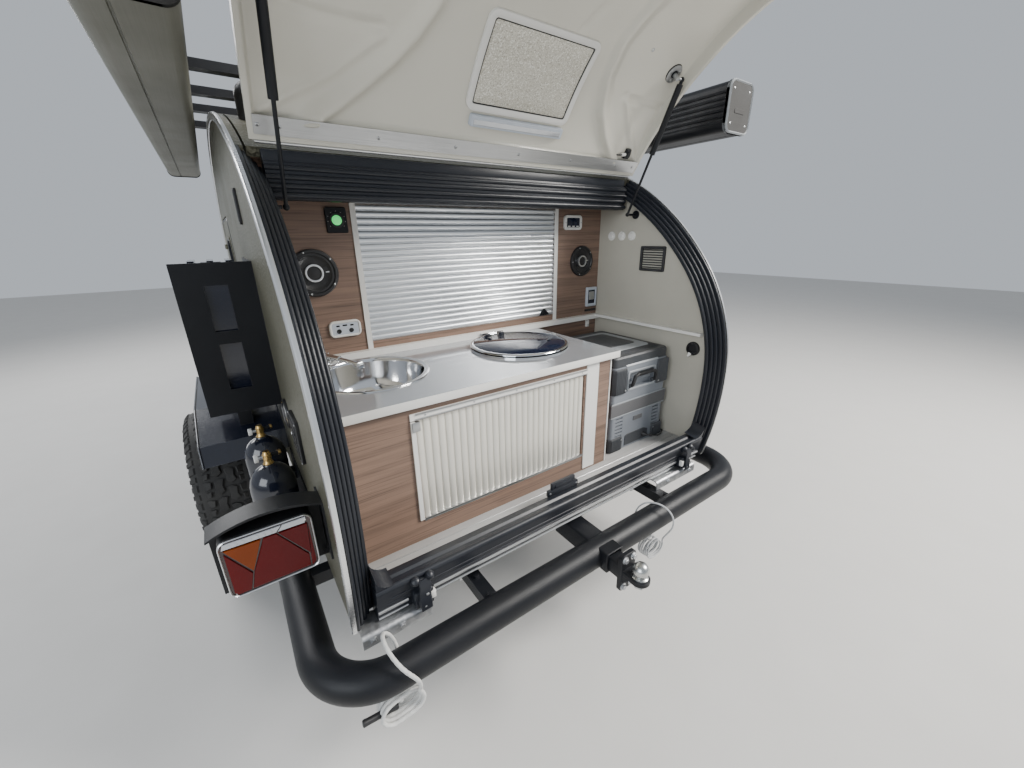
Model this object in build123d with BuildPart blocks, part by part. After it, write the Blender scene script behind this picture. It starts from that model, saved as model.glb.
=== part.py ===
from build123d import *
from math import atan2, cos, degrees, hypot, pi, radians, sin
import os

os.makedirs("parts", exist_ok=True)

# Body. X is to the right, Y forward to the drawbar, Z up, with the floor at zero.
body_half = 750.0
wall_inner = 720.0
liner_thick = 6.0
wall_skin = 745.0
floor_z = 540.0
floor_top = 590.0
hinge_y = -1130.0
bulkhead_y = hinge_y + 165.0
bulkhead_thick = 15.0
roof_thick = 25.0
rim_depth = 62.0
rim_inner = 690.0
sill_top = 650.0

# The side outline starts below the sill and runs up, over the roof and down the nose.
# Each arc has its radius and the degrees that it turns.
outline_start = (hinge_y - 470.0, 472.0)
outline_heading = 108.0
rear_arcs = [(1350.0, 20.0), (720.0, 36.0), (1150.0, 26.0)]
roof_arcs = [(2100.0, 26.0), (2050.0, 32.0), (600.0, 64.0), (1550.0, 21.0)]

# Rear lid, drawn shut and carried round its hinge to stand open
lid_open = 85.0
lid_low_turn = 8.5
lid_half = 712.0
lid_hinge_z = 1690.0
lid_seat = 6.0
lid_crown = 50.0
lid_skin = 7.0
lid_flange = 12.0

# Gas struts between the lid's studs and the eyes on the inner walls
strut_x = 662.0
eye_y = hinge_y - 45.0
eye_z = 1535.0
stud_reach = 375.0
stud_angle = 216.0
strut_radius = 11.0
strut_tube = 245.0
rod_radius = 5.0
rod_clearance = 0.05

# Wheels
axle_y = hinge_y + 850.0
tyre_radius = 365.0
tyre_outer = 1110.0
tyre_width = 235.0
rim_radius = 190.0
tyre_x = tyre_outer - tyre_width / 2

# Side doors, hung at their front edge
door_hinge_y = hinge_y + 1870.0
door_rear_y = hinge_y + 1215.0
door_cut_y = hinge_y + 1430.0
door_bottom_z = 650.0
door_cut_z = 900.0
door_top_z = 1560.0
door_gap = 6.0
window_y = hinge_y + 1560.0
window_z = 1290.0

# Chassis, drawbar and jockey wheel
beam_x = 400.0
beam_low_z = 455.0
beam_width = 50.0
drawbar_root_y = 600.0
drawbar_tip_y = 1960.0
coupling_nose_y = 2207.4
jockey_y = 1640.0
jockey_x = 215.0
jockey_wheel_radius = 105.0

# Galley
counter_top_z = 1053.0
counter_thick = 25.0
counter_front_y = hinge_y - 352.0
counter_right = 318.0
panel_front_y = hinge_y - 337.0
panel_thick = 15.0
panel_right = 290.0
sink_y = hinge_y - 55.0
sink_x = -510.0
sink_radius = 180.0
hob_x = 65.0
hob_y = hinge_y - 65.0
hob_radius = 190.0
cooler_left = 345.0
cooler_right = 685.0
cooler_front_y = hinge_y - 310.0
cooler_back_y = hinge_y + 80.0
cooler_low_z = floor_top + 1.0
cooler_lid_z = 962.0
cooler_top_z = 1010.0


def heading_vector(angle, length=1.0):
    return (length * cos(radians(angle)), length * sin(radians(angle)))


def chain_end(arcs, start, heading):
    """Where a chain of arcs that all turn the same way ends, and its heading there."""
    y, z = start
    for radius, turn in arcs:
        end = heading - turn
        y += radius * (sin(radians(heading)) - sin(radians(end)))
        z += radius * (cos(radians(end)) - cos(radians(heading)))
        heading = end
    return (y, z), heading


roof_start, roof_heading = chain_end(rear_arcs, outline_start, outline_heading)
rear_chain = (rear_arcs, outline_start, outline_heading)
roof_chain = (roof_arcs, roof_start, roof_heading)
whole_chain = (rear_arcs + roof_arcs, outline_start, outline_heading)


def arc_chain(chain, inset):
    """The chain moved inward by inset, drawn in the active line builder."""
    arcs, start, heading = chain
    shift = heading_vector(heading - 90, inset)
    first = Vector(start[0] + shift[0], start[1] + shift[1])
    point = first
    for radius, turn in arcs:
        arc = JernArc(point, heading_vector(heading), radius - inset, -turn)
        point = arc @ 1
        heading -= turn
    return first, point


def band(chain, outer, inner, x0, x1):
    """A strip that follows the chain between two insets, above the floor panel's underside."""
    with BuildPart() as strip:
        with BuildSketch(Plane.YZ.offset(x0)):
            with BuildLine():
                a0, a1 = arc_chain(chain, outer)
                b0, b1 = arc_chain(chain, inner)
                Line(a0, b0)
                Line(a1, b1)
            make_face()
        extrude(amount=x1 - x0)
        split(bisect_by=Plane.XY.offset(floor_z), keep=Keep.TOP)
    return strip.part


def body_slab(inset, x0, x1):
    """The whole side outline, moved inward by inset, from x0 to x1."""
    with BuildPart() as slab:
        with BuildSketch(Plane.YZ.offset(x0)):
            with BuildLine():
                first, last = arc_chain(whole_chain, inset)
                Line(last, first)
            make_face()
        extrude(amount=x1 - x0)
        split(bisect_by=Plane.XY.offset(floor_z), keep=Keep.TOP)
    return slab.part


def block(low, high, mode=Mode.ADD):
    """A plain block between two corners, in the active part builder."""
    size = [b - a for a, b in zip(low, high)]
    middle = [(a + b) / 2 for a, b in zip(low, high)]
    with Locations(tuple(middle)):
        Box(*size, mode=mode)


def bar(a, b, radius, mode=Mode.ADD):
    """A round bar from a to b, in the active part builder."""
    axis = Vector(*b) - Vector(*a)
    with Locations(Plane(origin=a, z_dir=axis)):
        Cylinder(radius, axis.length, align=(Align.CENTER, Align.CENTER, Align.MIN), mode=mode)


def save(shape, name):
    shape.label = name
    export_step(shape, f"parts/{name}.step")


def save_pair(shape, name):
    save(mirror(shape, about=Plane.YZ), name + "_left")
    save(shape, name + "_right")


# Door outline: a rounded panel, cut back at its lower rear corner to clear the wheel.
def door_face(clear):
    points = [
        (door_rear_y - clear, door_cut_z - clear),
        (door_cut_y - clear, door_bottom_z - clear),
        (door_hinge_y - door_gap + clear, door_bottom_z - clear),
        (door_hinge_y - door_gap + clear, door_top_z + clear),
        (door_rear_y - clear, door_top_z + clear),
    ]
    with BuildSketch() as face:
        with BuildLine():
            Polyline(*points, close=True)
        make_face()
        fillet(face.vertices(), 60 + clear)
    return face.sketch


door_shape = door_face(0.0)
door_opening = door_face(door_gap)

# Side walls: the skin runs on outside the rim profile.
with BuildPart() as side_walls:
    add(body_slab(0, wall_inner + liner_thick, body_half))
    add(band(rear_chain, -1, rim_depth, wall_inner, wall_skin), mode=Mode.SUBTRACT)
    with BuildSketch(Plane.YZ.offset(wall_inner)):
        add(door_opening)
    extrude(amount=60, mode=Mode.SUBTRACT)
    mirror(about=Plane.YZ)
save(side_walls.part, "side_walls")

with BuildPart() as liners:
    add(body_slab(roof_thick, wall_inner, wall_inner + liner_thick))
    add(band(rear_chain, -1, rim_depth, wall_inner, wall_skin), mode=Mode.SUBTRACT)
    with BuildSketch(Plane.YZ.offset(wall_inner - 5)):
        add(door_opening)
    extrude(amount=60, mode=Mode.SUBTRACT)
    mirror(about=Plane.YZ)
save(liners.part, "liners")

# Floor and roof
with BuildPart() as floor_panel:
    add(body_slab(0, -wall_inner, wall_inner))
    add(band(rear_chain, -1, rim_depth, -wall_inner, wall_inner), mode=Mode.SUBTRACT)
    add(band(roof_chain, -1, roof_thick, -wall_inner, wall_inner), mode=Mode.SUBTRACT)
    split(bisect_by=Plane.XY.offset(floor_top), keep=Keep.BOTTOM)
save(floor_panel.part, "floor")

save(band(roof_chain, 0, roof_thick, -wall_inner, wall_inner), "roof_skin")

# Mattress on the cabin's floor
mattress_thick = 100.0
with BuildPart() as mattress:
    block((-700, bulkhead_y + 30, floor_top), (700, 990, floor_top + mattress_thick))
    fillet(mattress.edges().filter_by(Axis.Z), 60)
    fillet(mattress.faces().sort_by(Axis.Z)[-1].edges(), 25)
save(mattress.part, "mattress")

# Bulkhead with the shutter's opening
shutter_half = 432.0
shutter_low_z = 1100.0
shutter_high_z = 1565.0
with BuildPart() as bulkhead:
    add(body_slab(roof_thick, -wall_inner, wall_inner))
    block(
        (-wall_inner, bulkhead_y, floor_top),
        (wall_inner, bulkhead_y + bulkhead_thick, 2200),
        mode=Mode.INTERSECT,
    )
    block(
        (-shutter_half, bulkhead_y - 1, shutter_low_z),
        (shutter_half, bulkhead_y + 30, shutter_high_z),
        mode=Mode.SUBTRACT,
    )
save(bulkhead.part, "bulkhead")

# Slatted shutters: half-round reeds on a thin web
upper_pitch = (shutter_high_z - shutter_low_z) / 22
with BuildPart() as upper_shutter:
    with BuildSketch(Plane.YZ.offset(-shutter_half)):
        with Locations((bulkhead_y + 9, (shutter_low_z + shutter_high_z) / 2)):
            Rectangle(4, shutter_high_z - shutter_low_z)
        with Locations((bulkhead_y + 7, (shutter_low_z + shutter_high_z) / 2)):
            with GridLocations(0, upper_pitch, 1, 22):
                Ellipse(5, upper_pitch / 2 - 0.8)
    extrude(amount=2 * shutter_half)
save(upper_shutter.part, "upper_shutter")

with BuildPart() as bulkhead_trim:
    for side in (-1, 1):
        x0, x1 = sorted((side * (shutter_half - 2), side * (shutter_half + 16)))
        block((x0, bulkhead_y - 5, counter_top_z + 22), (x1, bulkhead_y, shutter_high_z + 8))
    block((-wall_inner, bulkhead_y - 25, counter_top_z), (wall_inner, bulkhead_y, counter_top_z + 22))
    block((695, hinge_y - 434, counter_top_z + 10), (wall_inner, bulkhead_y - 25, counter_top_z + 22))
save(bulkhead_trim.part, "bulkhead_trim")

# Rubber profile round the opening: stepped ribs on the sides, the sill and a top seal
rib_steps = [(745.0, 0.0), (734.0, 12.0), (723.0, 24.0), (712.0, 36.0), (701.0, 48.0)]
seal_low_z = 1555.0
with BuildPart() as opening_profile:
    for outer_x, top in rib_steps:
        add(band(rear_chain, top, rim_depth, outer_x - 11.0, outer_x))
    mirror(about=Plane.YZ)
    add(band(rear_chain, 0, rim_depth, -rim_inner, rim_inner))
    block((-rim_inner, hinge_y - 900, sill_top), (rim_inner, hinge_y + 300, 2000), mode=Mode.SUBTRACT)
    with BuildSketch(Plane.YZ.offset(-rim_inner)):
        with BuildLine():
            Polyline(
                (hinge_y - 6, seal_low_z),
                (hinge_y + 26, seal_low_z),
                (hinge_y + 26, 1662),
                (hinge_y + 9, 1655),
                (hinge_y - 6, 1648),
                close=True,
            )
        make_face()
        with Locations((hinge_y - 6, seal_low_z + 46)):
            with GridLocations(0, 22, 1, 4):
                Circle(7)
    extrude(amount=2 * rim_inner)
save(opening_profile.part, "opening_profile")

# Aluminium edge trims, and the hinge rail on the roof's rear edge
rail_lift = heading_vector(roof_heading + 90, 4)
with BuildPart() as edge_trims:
    add(band(whole_chain, -3, 22, body_half, body_half + 6))
    add(band(whole_chain, -3, 0, wall_skin - 1, body_half))
    mirror(about=Plane.YZ)
    add(band(([(2100.0, 2.0)], roof_start, roof_heading), -4, 0, -700, 700))
    bar((-700, hinge_y, lid_hinge_z), (700, hinge_y, lid_hinge_z), 5)
    with BuildSketch(Plane.YZ.offset(-700)):
        with BuildLine():
            Polyline(
                (hinge_y + 1, lid_hinge_z - 4),
                roof_start,
                (roof_start[0] + rail_lift[0], roof_start[1] + rail_lift[1]),
                (hinge_y + 3, lid_hinge_z + 3),
                close=True,
            )
        make_face()
    extrude(amount=1400)
save(edge_trims.part, "edge_trims")

# Rear lid. Its sketches use the shut lid's coordinates, on a plane turned to the open stand.
open_x = (0, cos(radians(lid_open)), -sin(radians(lid_open)))
low_arc, knee_arc, top_arc = rear_arcs
low_turn = low_arc[1] - lid_low_turn
lid_start, lid_heading = chain_end([(low_arc[0], lid_low_turn)], outline_start, outline_heading)


def lid_plane(x):
    return Plane(origin=(x, hinge_y, lid_hinge_z), x_dir=open_x, z_dir=(1, 0, 0))


def from_hinge(point, outset=0.0, heading=0.0):
    shift = heading_vector(heading + 90, outset)
    return (point[0] - hinge_y + shift[0], point[1] - lid_hinge_z + shift[1])


crown_start = from_hinge(lid_start, lid_crown, lid_heading)
crown_arcs = [(low_arc[0] + lid_crown, low_turn), (knee_arc[0] + lid_crown, knee_arc[1])]
crown_knee, knee_heading = chain_end(crown_arcs, crown_start, lid_heading)
root_point = (-8.0, 3.0)
rise = degrees(atan2(root_point[1] - crown_knee[1], root_point[0] - crown_knee[0]))
root_chord = hypot(root_point[0] - crown_knee[0], root_point[1] - crown_knee[1])
root_radius = root_chord / (2 * sin(radians(knee_heading - rise)))
crown_arcs.append((root_radius, 2 * (knee_heading - rise)))
crown_chain = (crown_arcs, crown_start, lid_heading)
seat_start = from_hinge(lid_start)
strip_turn = 2.2
seat_arcs = [(low_arc[0], low_turn), knee_arc, (top_arc[0], 22.1)]
strip_start, strip_heading = chain_end(seat_arcs, seat_start, lid_heading)
strip_arc = (top_arc[0], strip_turn)
seat_chain = (seat_arcs + [strip_arc], seat_start, lid_heading)
end_flange_turn = 0.8
root_flange_turn = 3.0
cavity_start, cavity_heading = chain_end([(crown_arcs[0][0], end_flange_turn)], crown_start, lid_heading)
cavity_arcs = [
    (crown_arcs[0][0], low_turn - end_flange_turn),
    crown_arcs[1],
    (root_radius, crown_arcs[2][1] - root_flange_turn),
]
cavity_chain = (cavity_arcs, cavity_start, cavity_heading)

with BuildPart() as lid_shell:
    with BuildSketch(lid_plane(-lid_half)):
        with BuildLine():
            a0, a1 = arc_chain(crown_chain, 0)
            b0, b1 = arc_chain(seat_chain, -lid_seat)
            Line(a0, b0)
            Line(a1, b1)
        make_face()
    extrude(amount=2 * lid_half)
    outer_edges = lid_shell.edges().filter_by(GeomType.CIRCLE)
    outer_edges = outer_edges.filter_by(lambda e: min(abs(e.radius - r) for r, t in crown_arcs) < 1)
    fillet(outer_edges, 12)
    with BuildSketch(lid_plane(-lid_half + lid_flange)):
        with BuildLine():
            a0, a1 = arc_chain(cavity_chain, lid_skin)
            Polyline(a0, (a0.X + 200, a0.Y - 60), (a1.X + 10, a1.Y - 160), a1)
        make_face()
    extrude(amount=2 * (lid_half - lid_flange), mode=Mode.SUBTRACT)
save(lid_shell.part, "lid_shell")

# Aluminium strip under the lid's root
strip_chain = ([strip_arc], strip_start, strip_heading)
with BuildPart() as lid_strip:
    with BuildSketch(lid_plane(-700)):
        with BuildLine():
            a0, a1 = arc_chain(strip_chain, -lid_seat)
            b0, b1 = arc_chain(strip_chain, 3 - lid_seat)
            Line(a0, b0)
            Line(a1, b1)
        make_face()
    extrude(amount=1400)

# Framed panel on the lid's inner skin, with the lamp's ledge below it


def root_patch(first_turn, last_turn, shallow, deep, x0, x1):
    """A slab on the lid's last arc, between two depths inside the crown line."""
    start, heading = chain_end([(root_radius, first_turn)], crown_knee, knee_heading)
    chain = ([(root_radius, last_turn - first_turn)], start, heading)
    with BuildPart() as patch:
        with BuildSketch(lid_plane(x0)):
            with BuildLine():
                a0, a1 = arc_chain(chain, shallow)
                b0, b1 = arc_chain(chain, deep)
                Line(a0, b0)
                Line(a1, b1)
            make_face()
        extrude(amount=x1 - x0)
    return patch.part


panel_x = (-140.0, 258.0)
panel_turn = (7.4, 22.4)
with BuildPart() as lid_panel:
    add(root_patch(*panel_turn, lid_skin, lid_skin + 9, *panel_x))
    corners = [e for e in lid_panel.edges().filter_by(GeomType.LINE) if e.length < 10]
    fillet(corners, 26)
    add(
        root_patch(
            panel_turn[0] + 1.1,
            panel_turn[1] - 1.1,
            lid_skin + 5,
            lid_skin + 10,
            panel_x[0] + 19,
            panel_x[1] - 19,
        ),
        mode=Mode.SUBTRACT,
    )
    add(root_patch(22.9, 24.9, lid_skin, lid_skin + 14, panel_x[0] + 24, panel_x[1] - 6))
save(lid_panel.part, "lid_panel")

# Stud plates on the lid's skin, and the gas struts
crown_end, crown_end_heading = chain_end(crown_arcs, crown_start, lid_heading)
toward_centre = heading_vector(crown_end_heading - 90, root_radius)
arc_centre = (crown_end[0] + toward_centre[0], crown_end[1] + toward_centre[1])
stud = heading_vector(stud_angle, stud_reach)
stud_spoke = atan2(stud[1] - arc_centre[1], stud[0] - arc_centre[0])
plate_sag = 0.5
skin_gap = root_radius - lid_skin - plate_sag - hypot(stud[0] - arc_centre[0], stud[1] - arc_centre[1])
open_stud = heading_vector(stud_angle - lid_open, stud_reach)
stud_point = Vector(strut_x, hinge_y + open_stud[0], lid_hinge_z + open_stud[1])
eye_point = Vector(strut_x, eye_y, eye_z)
strut_line = (eye_point - stud_point).normalized()
spoke = heading_vector(degrees(stud_spoke) - lid_open)
plate_normal = Vector(0, spoke[0], spoke[1])
plate_point = Vector(strut_x - 30, stud_point.Y, stud_point.Z)

with BuildPart() as lid_fittings:
    add(lid_strip.part)
    bar(tuple(plate_point + plate_normal * (skin_gap - 5)), tuple(plate_point + plate_normal * skin_gap), 30)
    bar(tuple(plate_point - plate_normal * 6), tuple(plate_point + plate_normal * (skin_gap - 5)), 8)
    bar(tuple(stud_point - Vector(30, 0, 0)), tuple(stud_point - Vector(9.5, 0, 0)), 5)
    mirror(about=Plane.YZ)
save(lid_fittings.part, "lid_fittings")

with BuildPart() as strut_tube_part:
    with Locations(stud_point):
        Sphere(8.5)
    bar(tuple(stud_point), tuple(stud_point + strut_line * 20), 6)
    bar(tuple(stud_point + strut_line * 14), tuple(stud_point + strut_line * strut_tube), strut_radius)
    bar(
        tuple(stud_point + strut_line * 20),
        tuple(stud_point + strut_line * (strut_tube + 1)),
        rod_radius + rod_clearance,
        mode=Mode.SUBTRACT,
    )
save_pair(strut_tube_part.part, "strut_tube")

with BuildPart() as strut_rod:
    bar(tuple(stud_point + strut_line * (strut_tube - 6)), tuple(eye_point), rod_radius)
    with Locations(eye_point):
        Sphere(8.5)
save_pair(strut_rod.part, "strut_rod")

with BuildPart() as strut_eyes:
    bar((strut_x + 10, eye_y, eye_z), (wall_inner, eye_y, eye_z), 5)
    bar((wall_inner - 6, eye_y, eye_z), (wall_inner, eye_y, eye_z), 17)
    mirror(about=Plane.YZ)
save(strut_eyes.part, "strut_eyes")

# Side doors with their windows and hinges
door_inner = 722.0
hinge_x = body_half + 9.0
with BuildPart() as door:
    with BuildSketch(Plane.YZ.offset(door_inner)):
        add(door_shape)
        with Locations((window_y, window_z)):
            RectangleRounded(420, 330, 70, mode=Mode.SUBTRACT)
    extrude(amount=body_half - door_inner)
    with BuildSketch(Plane.YZ.offset(body_half)):
        with Locations((window_y, window_z)):
            RectangleRounded(460, 370, 90)
            RectangleRounded(420, 330, 70, mode=Mode.SUBTRACT)
    extrude(amount=5)
    block((body_half, door_rear_y + 25, 1180), (body_half + 26, door_rear_y + 50, 1320))
    for z in (800, 1430):
        block((body_half, door_hinge_y - 60, z - 30), (body_half + 4, door_hinge_y, z - 2))
        bar((hinge_x, door_hinge_y, z - 30), (hinge_x, door_hinge_y, z - 2), 9)
        bar((hinge_x, door_hinge_y, z - 31), (hinge_x, door_hinge_y, z), 4.05, mode=Mode.SUBTRACT)
save_pair(door.part, "door")

with BuildPart() as door_window:
    with BuildSketch(Plane.YZ.offset(734)):
        with Locations((window_y, window_z)):
            RectangleRounded(420, 330, 70)
    extrude(amount=6)
save_pair(door_window.part, "door_window")

# Wheels
axle_point = (0, axle_y, tyre_radius)
axle_axis = Axis(axle_point, (1, 0, 0))
wheel_plane = Plane(origin=axle_point, x_dir=(1, 0, 0), z_dir=(0, -1, 0))
with BuildPart() as tyre:
    with BuildSketch(wheel_plane):
        with BuildLine():
            Polyline(
                (tyre_x - 92, rim_radius),
                (tyre_x - 117.5, 262),
                (tyre_x - 108, 342),
                (tyre_x - 84, tyre_radius),
                (tyre_x + 84, tyre_radius),
                (tyre_x + 108, 342),
                (tyre_x + 117.5, 262),
                (tyre_x + 92, rim_radius),
                close=True,
            )
        make_face()
    revolve(axis=axle_axis)
save_pair(tyre.part, "tyre")

stub_radius = 18.0
window_ring = 110.0
window_count = 8
with BuildPart() as rim:
    with BuildSketch(wheel_plane):
        with BuildLine():
            Polyline(
                (tyre_x - 92, rim_radius),
                (tyre_x - 100, rim_radius),
                (tyre_x - 100, rim_radius - 12),
                (tyre_x - 20, rim_radius - 30),
                (tyre_x + 6, stub_radius + 42),
                (tyre_x - 40, stub_radius + 36),
                (tyre_x - 40, stub_radius + 0.05),
                (tyre_x + 40, stub_radius + 0.05),
                (tyre_x + 40, stub_radius + 18),
                (tyre_x + 22, stub_radius + 44),
                (tyre_x + 4, rim_radius - 28),
                (tyre_x + 100, rim_radius - 12),
                (tyre_x + 100, rim_radius),
                (tyre_x + 92, rim_radius),
                close=True,
            )
        make_face()
    revolve(axis=axle_axis)
    # Windows between the spokes
    with BuildSketch(Plane(origin=(tyre_x - 30, axle_y, tyre_radius), x_dir=(0, 1, 0), z_dir=(1, 0, 0))):
        with PolarLocations(window_ring, window_count):
            Trapezoid(58, 46, 80, rotation=90)
    extrude(amount=80, mode=Mode.SUBTRACT)
save_pair(rim.part, "rim")

# Axle tube with trailing arms and stubs
arm_y = axle_y + 150.0
axle_tube_z = 418.0
with BuildPart() as axle_beam:
    block((-800, arm_y - 36, axle_tube_z - 36), (800, arm_y + 36, axle_tube_z + 36))
    for side in (-1, 1):
        x0, x1 = sorted((side * 800, side * 832))
        with BuildSketch(Plane.YZ.offset(x0)):
            with BuildLine():
                Polyline(
                    (arm_y + 45, axle_tube_z + 45),
                    (arm_y + 45, axle_tube_z - 45),
                    (axle_y - 30, tyre_radius - 45),
                    (axle_y - 50, tyre_radius + 20),
                    close=True,
                )
            make_face()
        extrude(amount=x1 - x0)
        bar((side * 800, axle_y, tyre_radius), (side * 862, axle_y, tyre_radius), 40)
        bar((side * 860, axle_y, tyre_radius), (side * (tyre_x + 38), axle_y, tyre_radius), stub_radius)
        block(
            (side * beam_x - 45, arm_y - 70, axle_tube_z + 30),
            (side * beam_x + 45, arm_y + 70, beam_low_z),
        )
save(axle_beam.part, "axle_beam")

# Chassis and A-shaped drawbar
chassis_rear_y = hinge_y - 420.0
chassis_front_y = 1040.0
with BuildPart() as chassis_frame:
    for side in (-1, 1):
        x0, x1 = sorted((side * (beam_x - beam_width / 2), side * (beam_x + beam_width / 2)))
        block((x0, chassis_rear_y, beam_low_z), (x1, chassis_front_y, floor_z))
        with BuildSketch(Plane.XY.offset(beam_low_z)):
            with BuildLine():
                Polyline(
                    (side * (beam_x - 28), drawbar_root_y),
                    (side * (beam_x + 25), drawbar_root_y),
                    (side * 45, drawbar_tip_y),
                    (0, drawbar_tip_y),
                    (0, drawbar_tip_y - 70),
                    close=True,
                )
            make_face()
        extrude(amount=floor_z - 6 - beam_low_z)
    for y in (chassis_rear_y, -600, 300, 990):
        block((-beam_x, y, beam_low_z + 20), (beam_x, y + 50, floor_z))
    block((130, jockey_y - 30, 470), (jockey_x, jockey_y + 30, 530))
    bar((jockey_x, jockey_y, 400), (jockey_x, jockey_y, 600), 30, mode=Mode.SUBTRACT)
save(chassis_frame.part, "chassis_frame")

# Coupling head with its handbrake lever
coupling_z = 500.0
with BuildPart() as coupling_head:
    block((-34, drawbar_tip_y - 130, floor_z - 6), (34, drawbar_tip_y + 40, floor_z + 40))
    bar((0, drawbar_tip_y + 30, floor_z + 17), (0, coupling_nose_y - 60, floor_z + 17), 24)
    with BuildSketch(Plane.YZ.offset(-38)):
        with BuildLine():
            Polyline(
                (coupling_nose_y - 120, coupling_z - 20),
                (coupling_nose_y, coupling_z - 20),
                (coupling_nose_y, coupling_z + 40),
                (coupling_nose_y - 40, coupling_z + 62),
                (coupling_nose_y - 120, coupling_z + 82),
                close=True,
            )
        make_face()
    extrude(amount=76)
    with Locations((0, coupling_nose_y - 44, coupling_z)):
        Sphere(25.3, mode=Mode.SUBTRACT)
    bar(
        (0, coupling_nose_y - 44, coupling_z - 30),
        (0, coupling_nose_y - 44, coupling_z),
        25.3,
        mode=Mode.SUBTRACT,
    )
    bar((0, drawbar_tip_y - 40, floor_z + 20), (0, drawbar_tip_y - 150, floor_z + 190), 9)
save(coupling_head.part, "coupling_head")

# Jockey wheel
jockey_low = 470.0
swivel_pin_top = 262.0
with BuildPart() as jockey_clamp:
    bar((jockey_x, jockey_y, jockey_low), (jockey_x, jockey_y, 770), 30)
    bar((jockey_x, jockey_y, jockey_low - 1), (jockey_x, jockey_y, 750), 25.05, mode=Mode.SUBTRACT)
    bar((jockey_x, jockey_y, 768), (jockey_x, jockey_y, 800), 10)
    bar((jockey_x, jockey_y, 795), (jockey_x, jockey_y + 110, 795), 7)
    bar((jockey_x, jockey_y + 104, 790), (jockey_x, jockey_y + 104, 860), 12)
save(jockey_clamp.part, "jockey_clamp")

with BuildPart() as jockey_tube:
    bar((jockey_x, jockey_y, 240), (jockey_x, jockey_y, 545), 25)
    bar((jockey_x, jockey_y, 239), (jockey_x, jockey_y, swivel_pin_top + 5), 10.05, mode=Mode.SUBTRACT)
save(jockey_tube.part, "jockey_tube")

fork_trail = 35.0
jockey_axle_y = jockey_y - fork_trail
with BuildPart() as jockey_fork:
    bar((jockey_x, jockey_y, 230), (jockey_x, jockey_y, swivel_pin_top), 10)
    block((jockey_x - 40, jockey_y - 62, 222), (jockey_x + 40, jockey_y + 30, 236))
    for side in (-1, 1):
        x0, x1 = sorted((jockey_x + side * 34, jockey_x + side * 40))
        block((x0, jockey_axle_y - 22, 88), (x1, jockey_axle_y + 30, 226))
    bar(
        (jockey_x - 40, jockey_axle_y, jockey_wheel_radius),
        (jockey_x + 40, jockey_axle_y, jockey_wheel_radius),
        8,
    )
save(jockey_fork.part, "jockey_fork")

with BuildPart() as jockey_wheel:
    with BuildSketch(Plane.YZ.offset(jockey_x - 27)):
        with Locations((jockey_axle_y, jockey_wheel_radius)):
            Circle(jockey_wheel_radius)
            Circle(8.05, mode=Mode.SUBTRACT)
    extrude(amount=54)
    fillet(jockey_wheel.edges().filter_by(GeomType.CIRCLE).sort_by(SortBy.RADIUS)[-2:], 14)
save(jockey_wheel.part, "jockey_wheel")

# Rear bumper: a round tube bent forward at both ends, on arms from the chassis beams
bumper_radius = 44.5
bumper_z = 485.0
bumper_y = hinge_y - 600.0
bumper_end_y = hinge_y - 120.0
bumper_x = 840.0
with BuildPart() as bumper:
    with BuildLine(Plane.XY.offset(bumper_z)) as bumper_path:
        FilletPolyline(
            (-bumper_x, bumper_end_y),
            (-bumper_x, bumper_y),
            (bumper_x, bumper_y),
            (bumper_x, bumper_end_y),
            radius=150,
        )
    with BuildSketch(Plane(origin=bumper_path.line @ 0, z_dir=bumper_path.line % 0)):
        Circle(bumper_radius)
        Circle(bumper_radius - 4, mode=Mode.SUBTRACT)
    sweep()
    for side in (-1, 1):
        end_point = (side * bumper_x, bumper_end_y, bumper_z)
        bar((side * bumper_x, bumper_end_y - 6, bumper_z), end_point, bumper_radius)
        x0, x1 = sorted((side * (beam_x + beam_width / 2), side * bumper_x))
        block((x0, bumper_end_y - 70, bumper_z - 20), (x1, bumper_end_y - 30, bumper_z + 20))
        x0, x1 = sorted((side * (beam_x - 20), side * (beam_x + 20)))
        block((x0, bumper_y, bumper_z - 20), (x1, chassis_rear_y, bumper_z + 20))
save(bumper.part, "bumper")

# Galvanised channels under the sill
channel_y = (hinge_y - 520.0, hinge_y - 440.0)
channel_low_z = bumper_z + 20.0
channel_thick = 5.0
with BuildPart() as sill_brackets:
    for x0, x1 in ((-740, -560), (400, 650)):
        with BuildSketch(Plane.YZ.offset(x0)):
            with BuildLine() as channel_line:
                FilletPolyline(
                    (channel_y[0], channel_low_z),
                    (channel_y[0], floor_z),
                    (channel_y[1], floor_z),
                    (channel_y[1], channel_low_z),
                    radius=12,
                )
                offset(amount=channel_thick, side=Side.RIGHT)
            make_face()
        extrude(amount=x1 - x0)
save(sill_brackets.part, "sill_brackets")

# Rear receiver, drop plate and tow ball
ball_y = hinge_y - 760.0
ball_z = 524.0
with BuildPart() as tow_hitch:
    block((-36, bumper_y - 62, 452), (36, chassis_rear_y, 524))
    bar((-50, bumper_y, bumper_z), (50, bumper_y, bumper_z), bumper_radius, mode=Mode.SUBTRACT)
    block((-25, bumper_y - 112, 460), (25, bumper_y - 60, 510))
    block((-30, ball_y + 44, 419), (30, ball_y + 58, 553))
    block((-30, ball_y - 32, 484), (30, ball_y + 46, 500))
    bar((0, ball_y, 468), (0, ball_y, 486), 20)
    bar((0, ball_y, 498), (0, ball_y, ball_z), 12)
    bar((0, ball_y, 499), (0, ball_y, 505), 19)
    with Locations((0, ball_y, ball_z)):
        Sphere(25)
save(tow_hitch.part, "tow_hitch")

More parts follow.
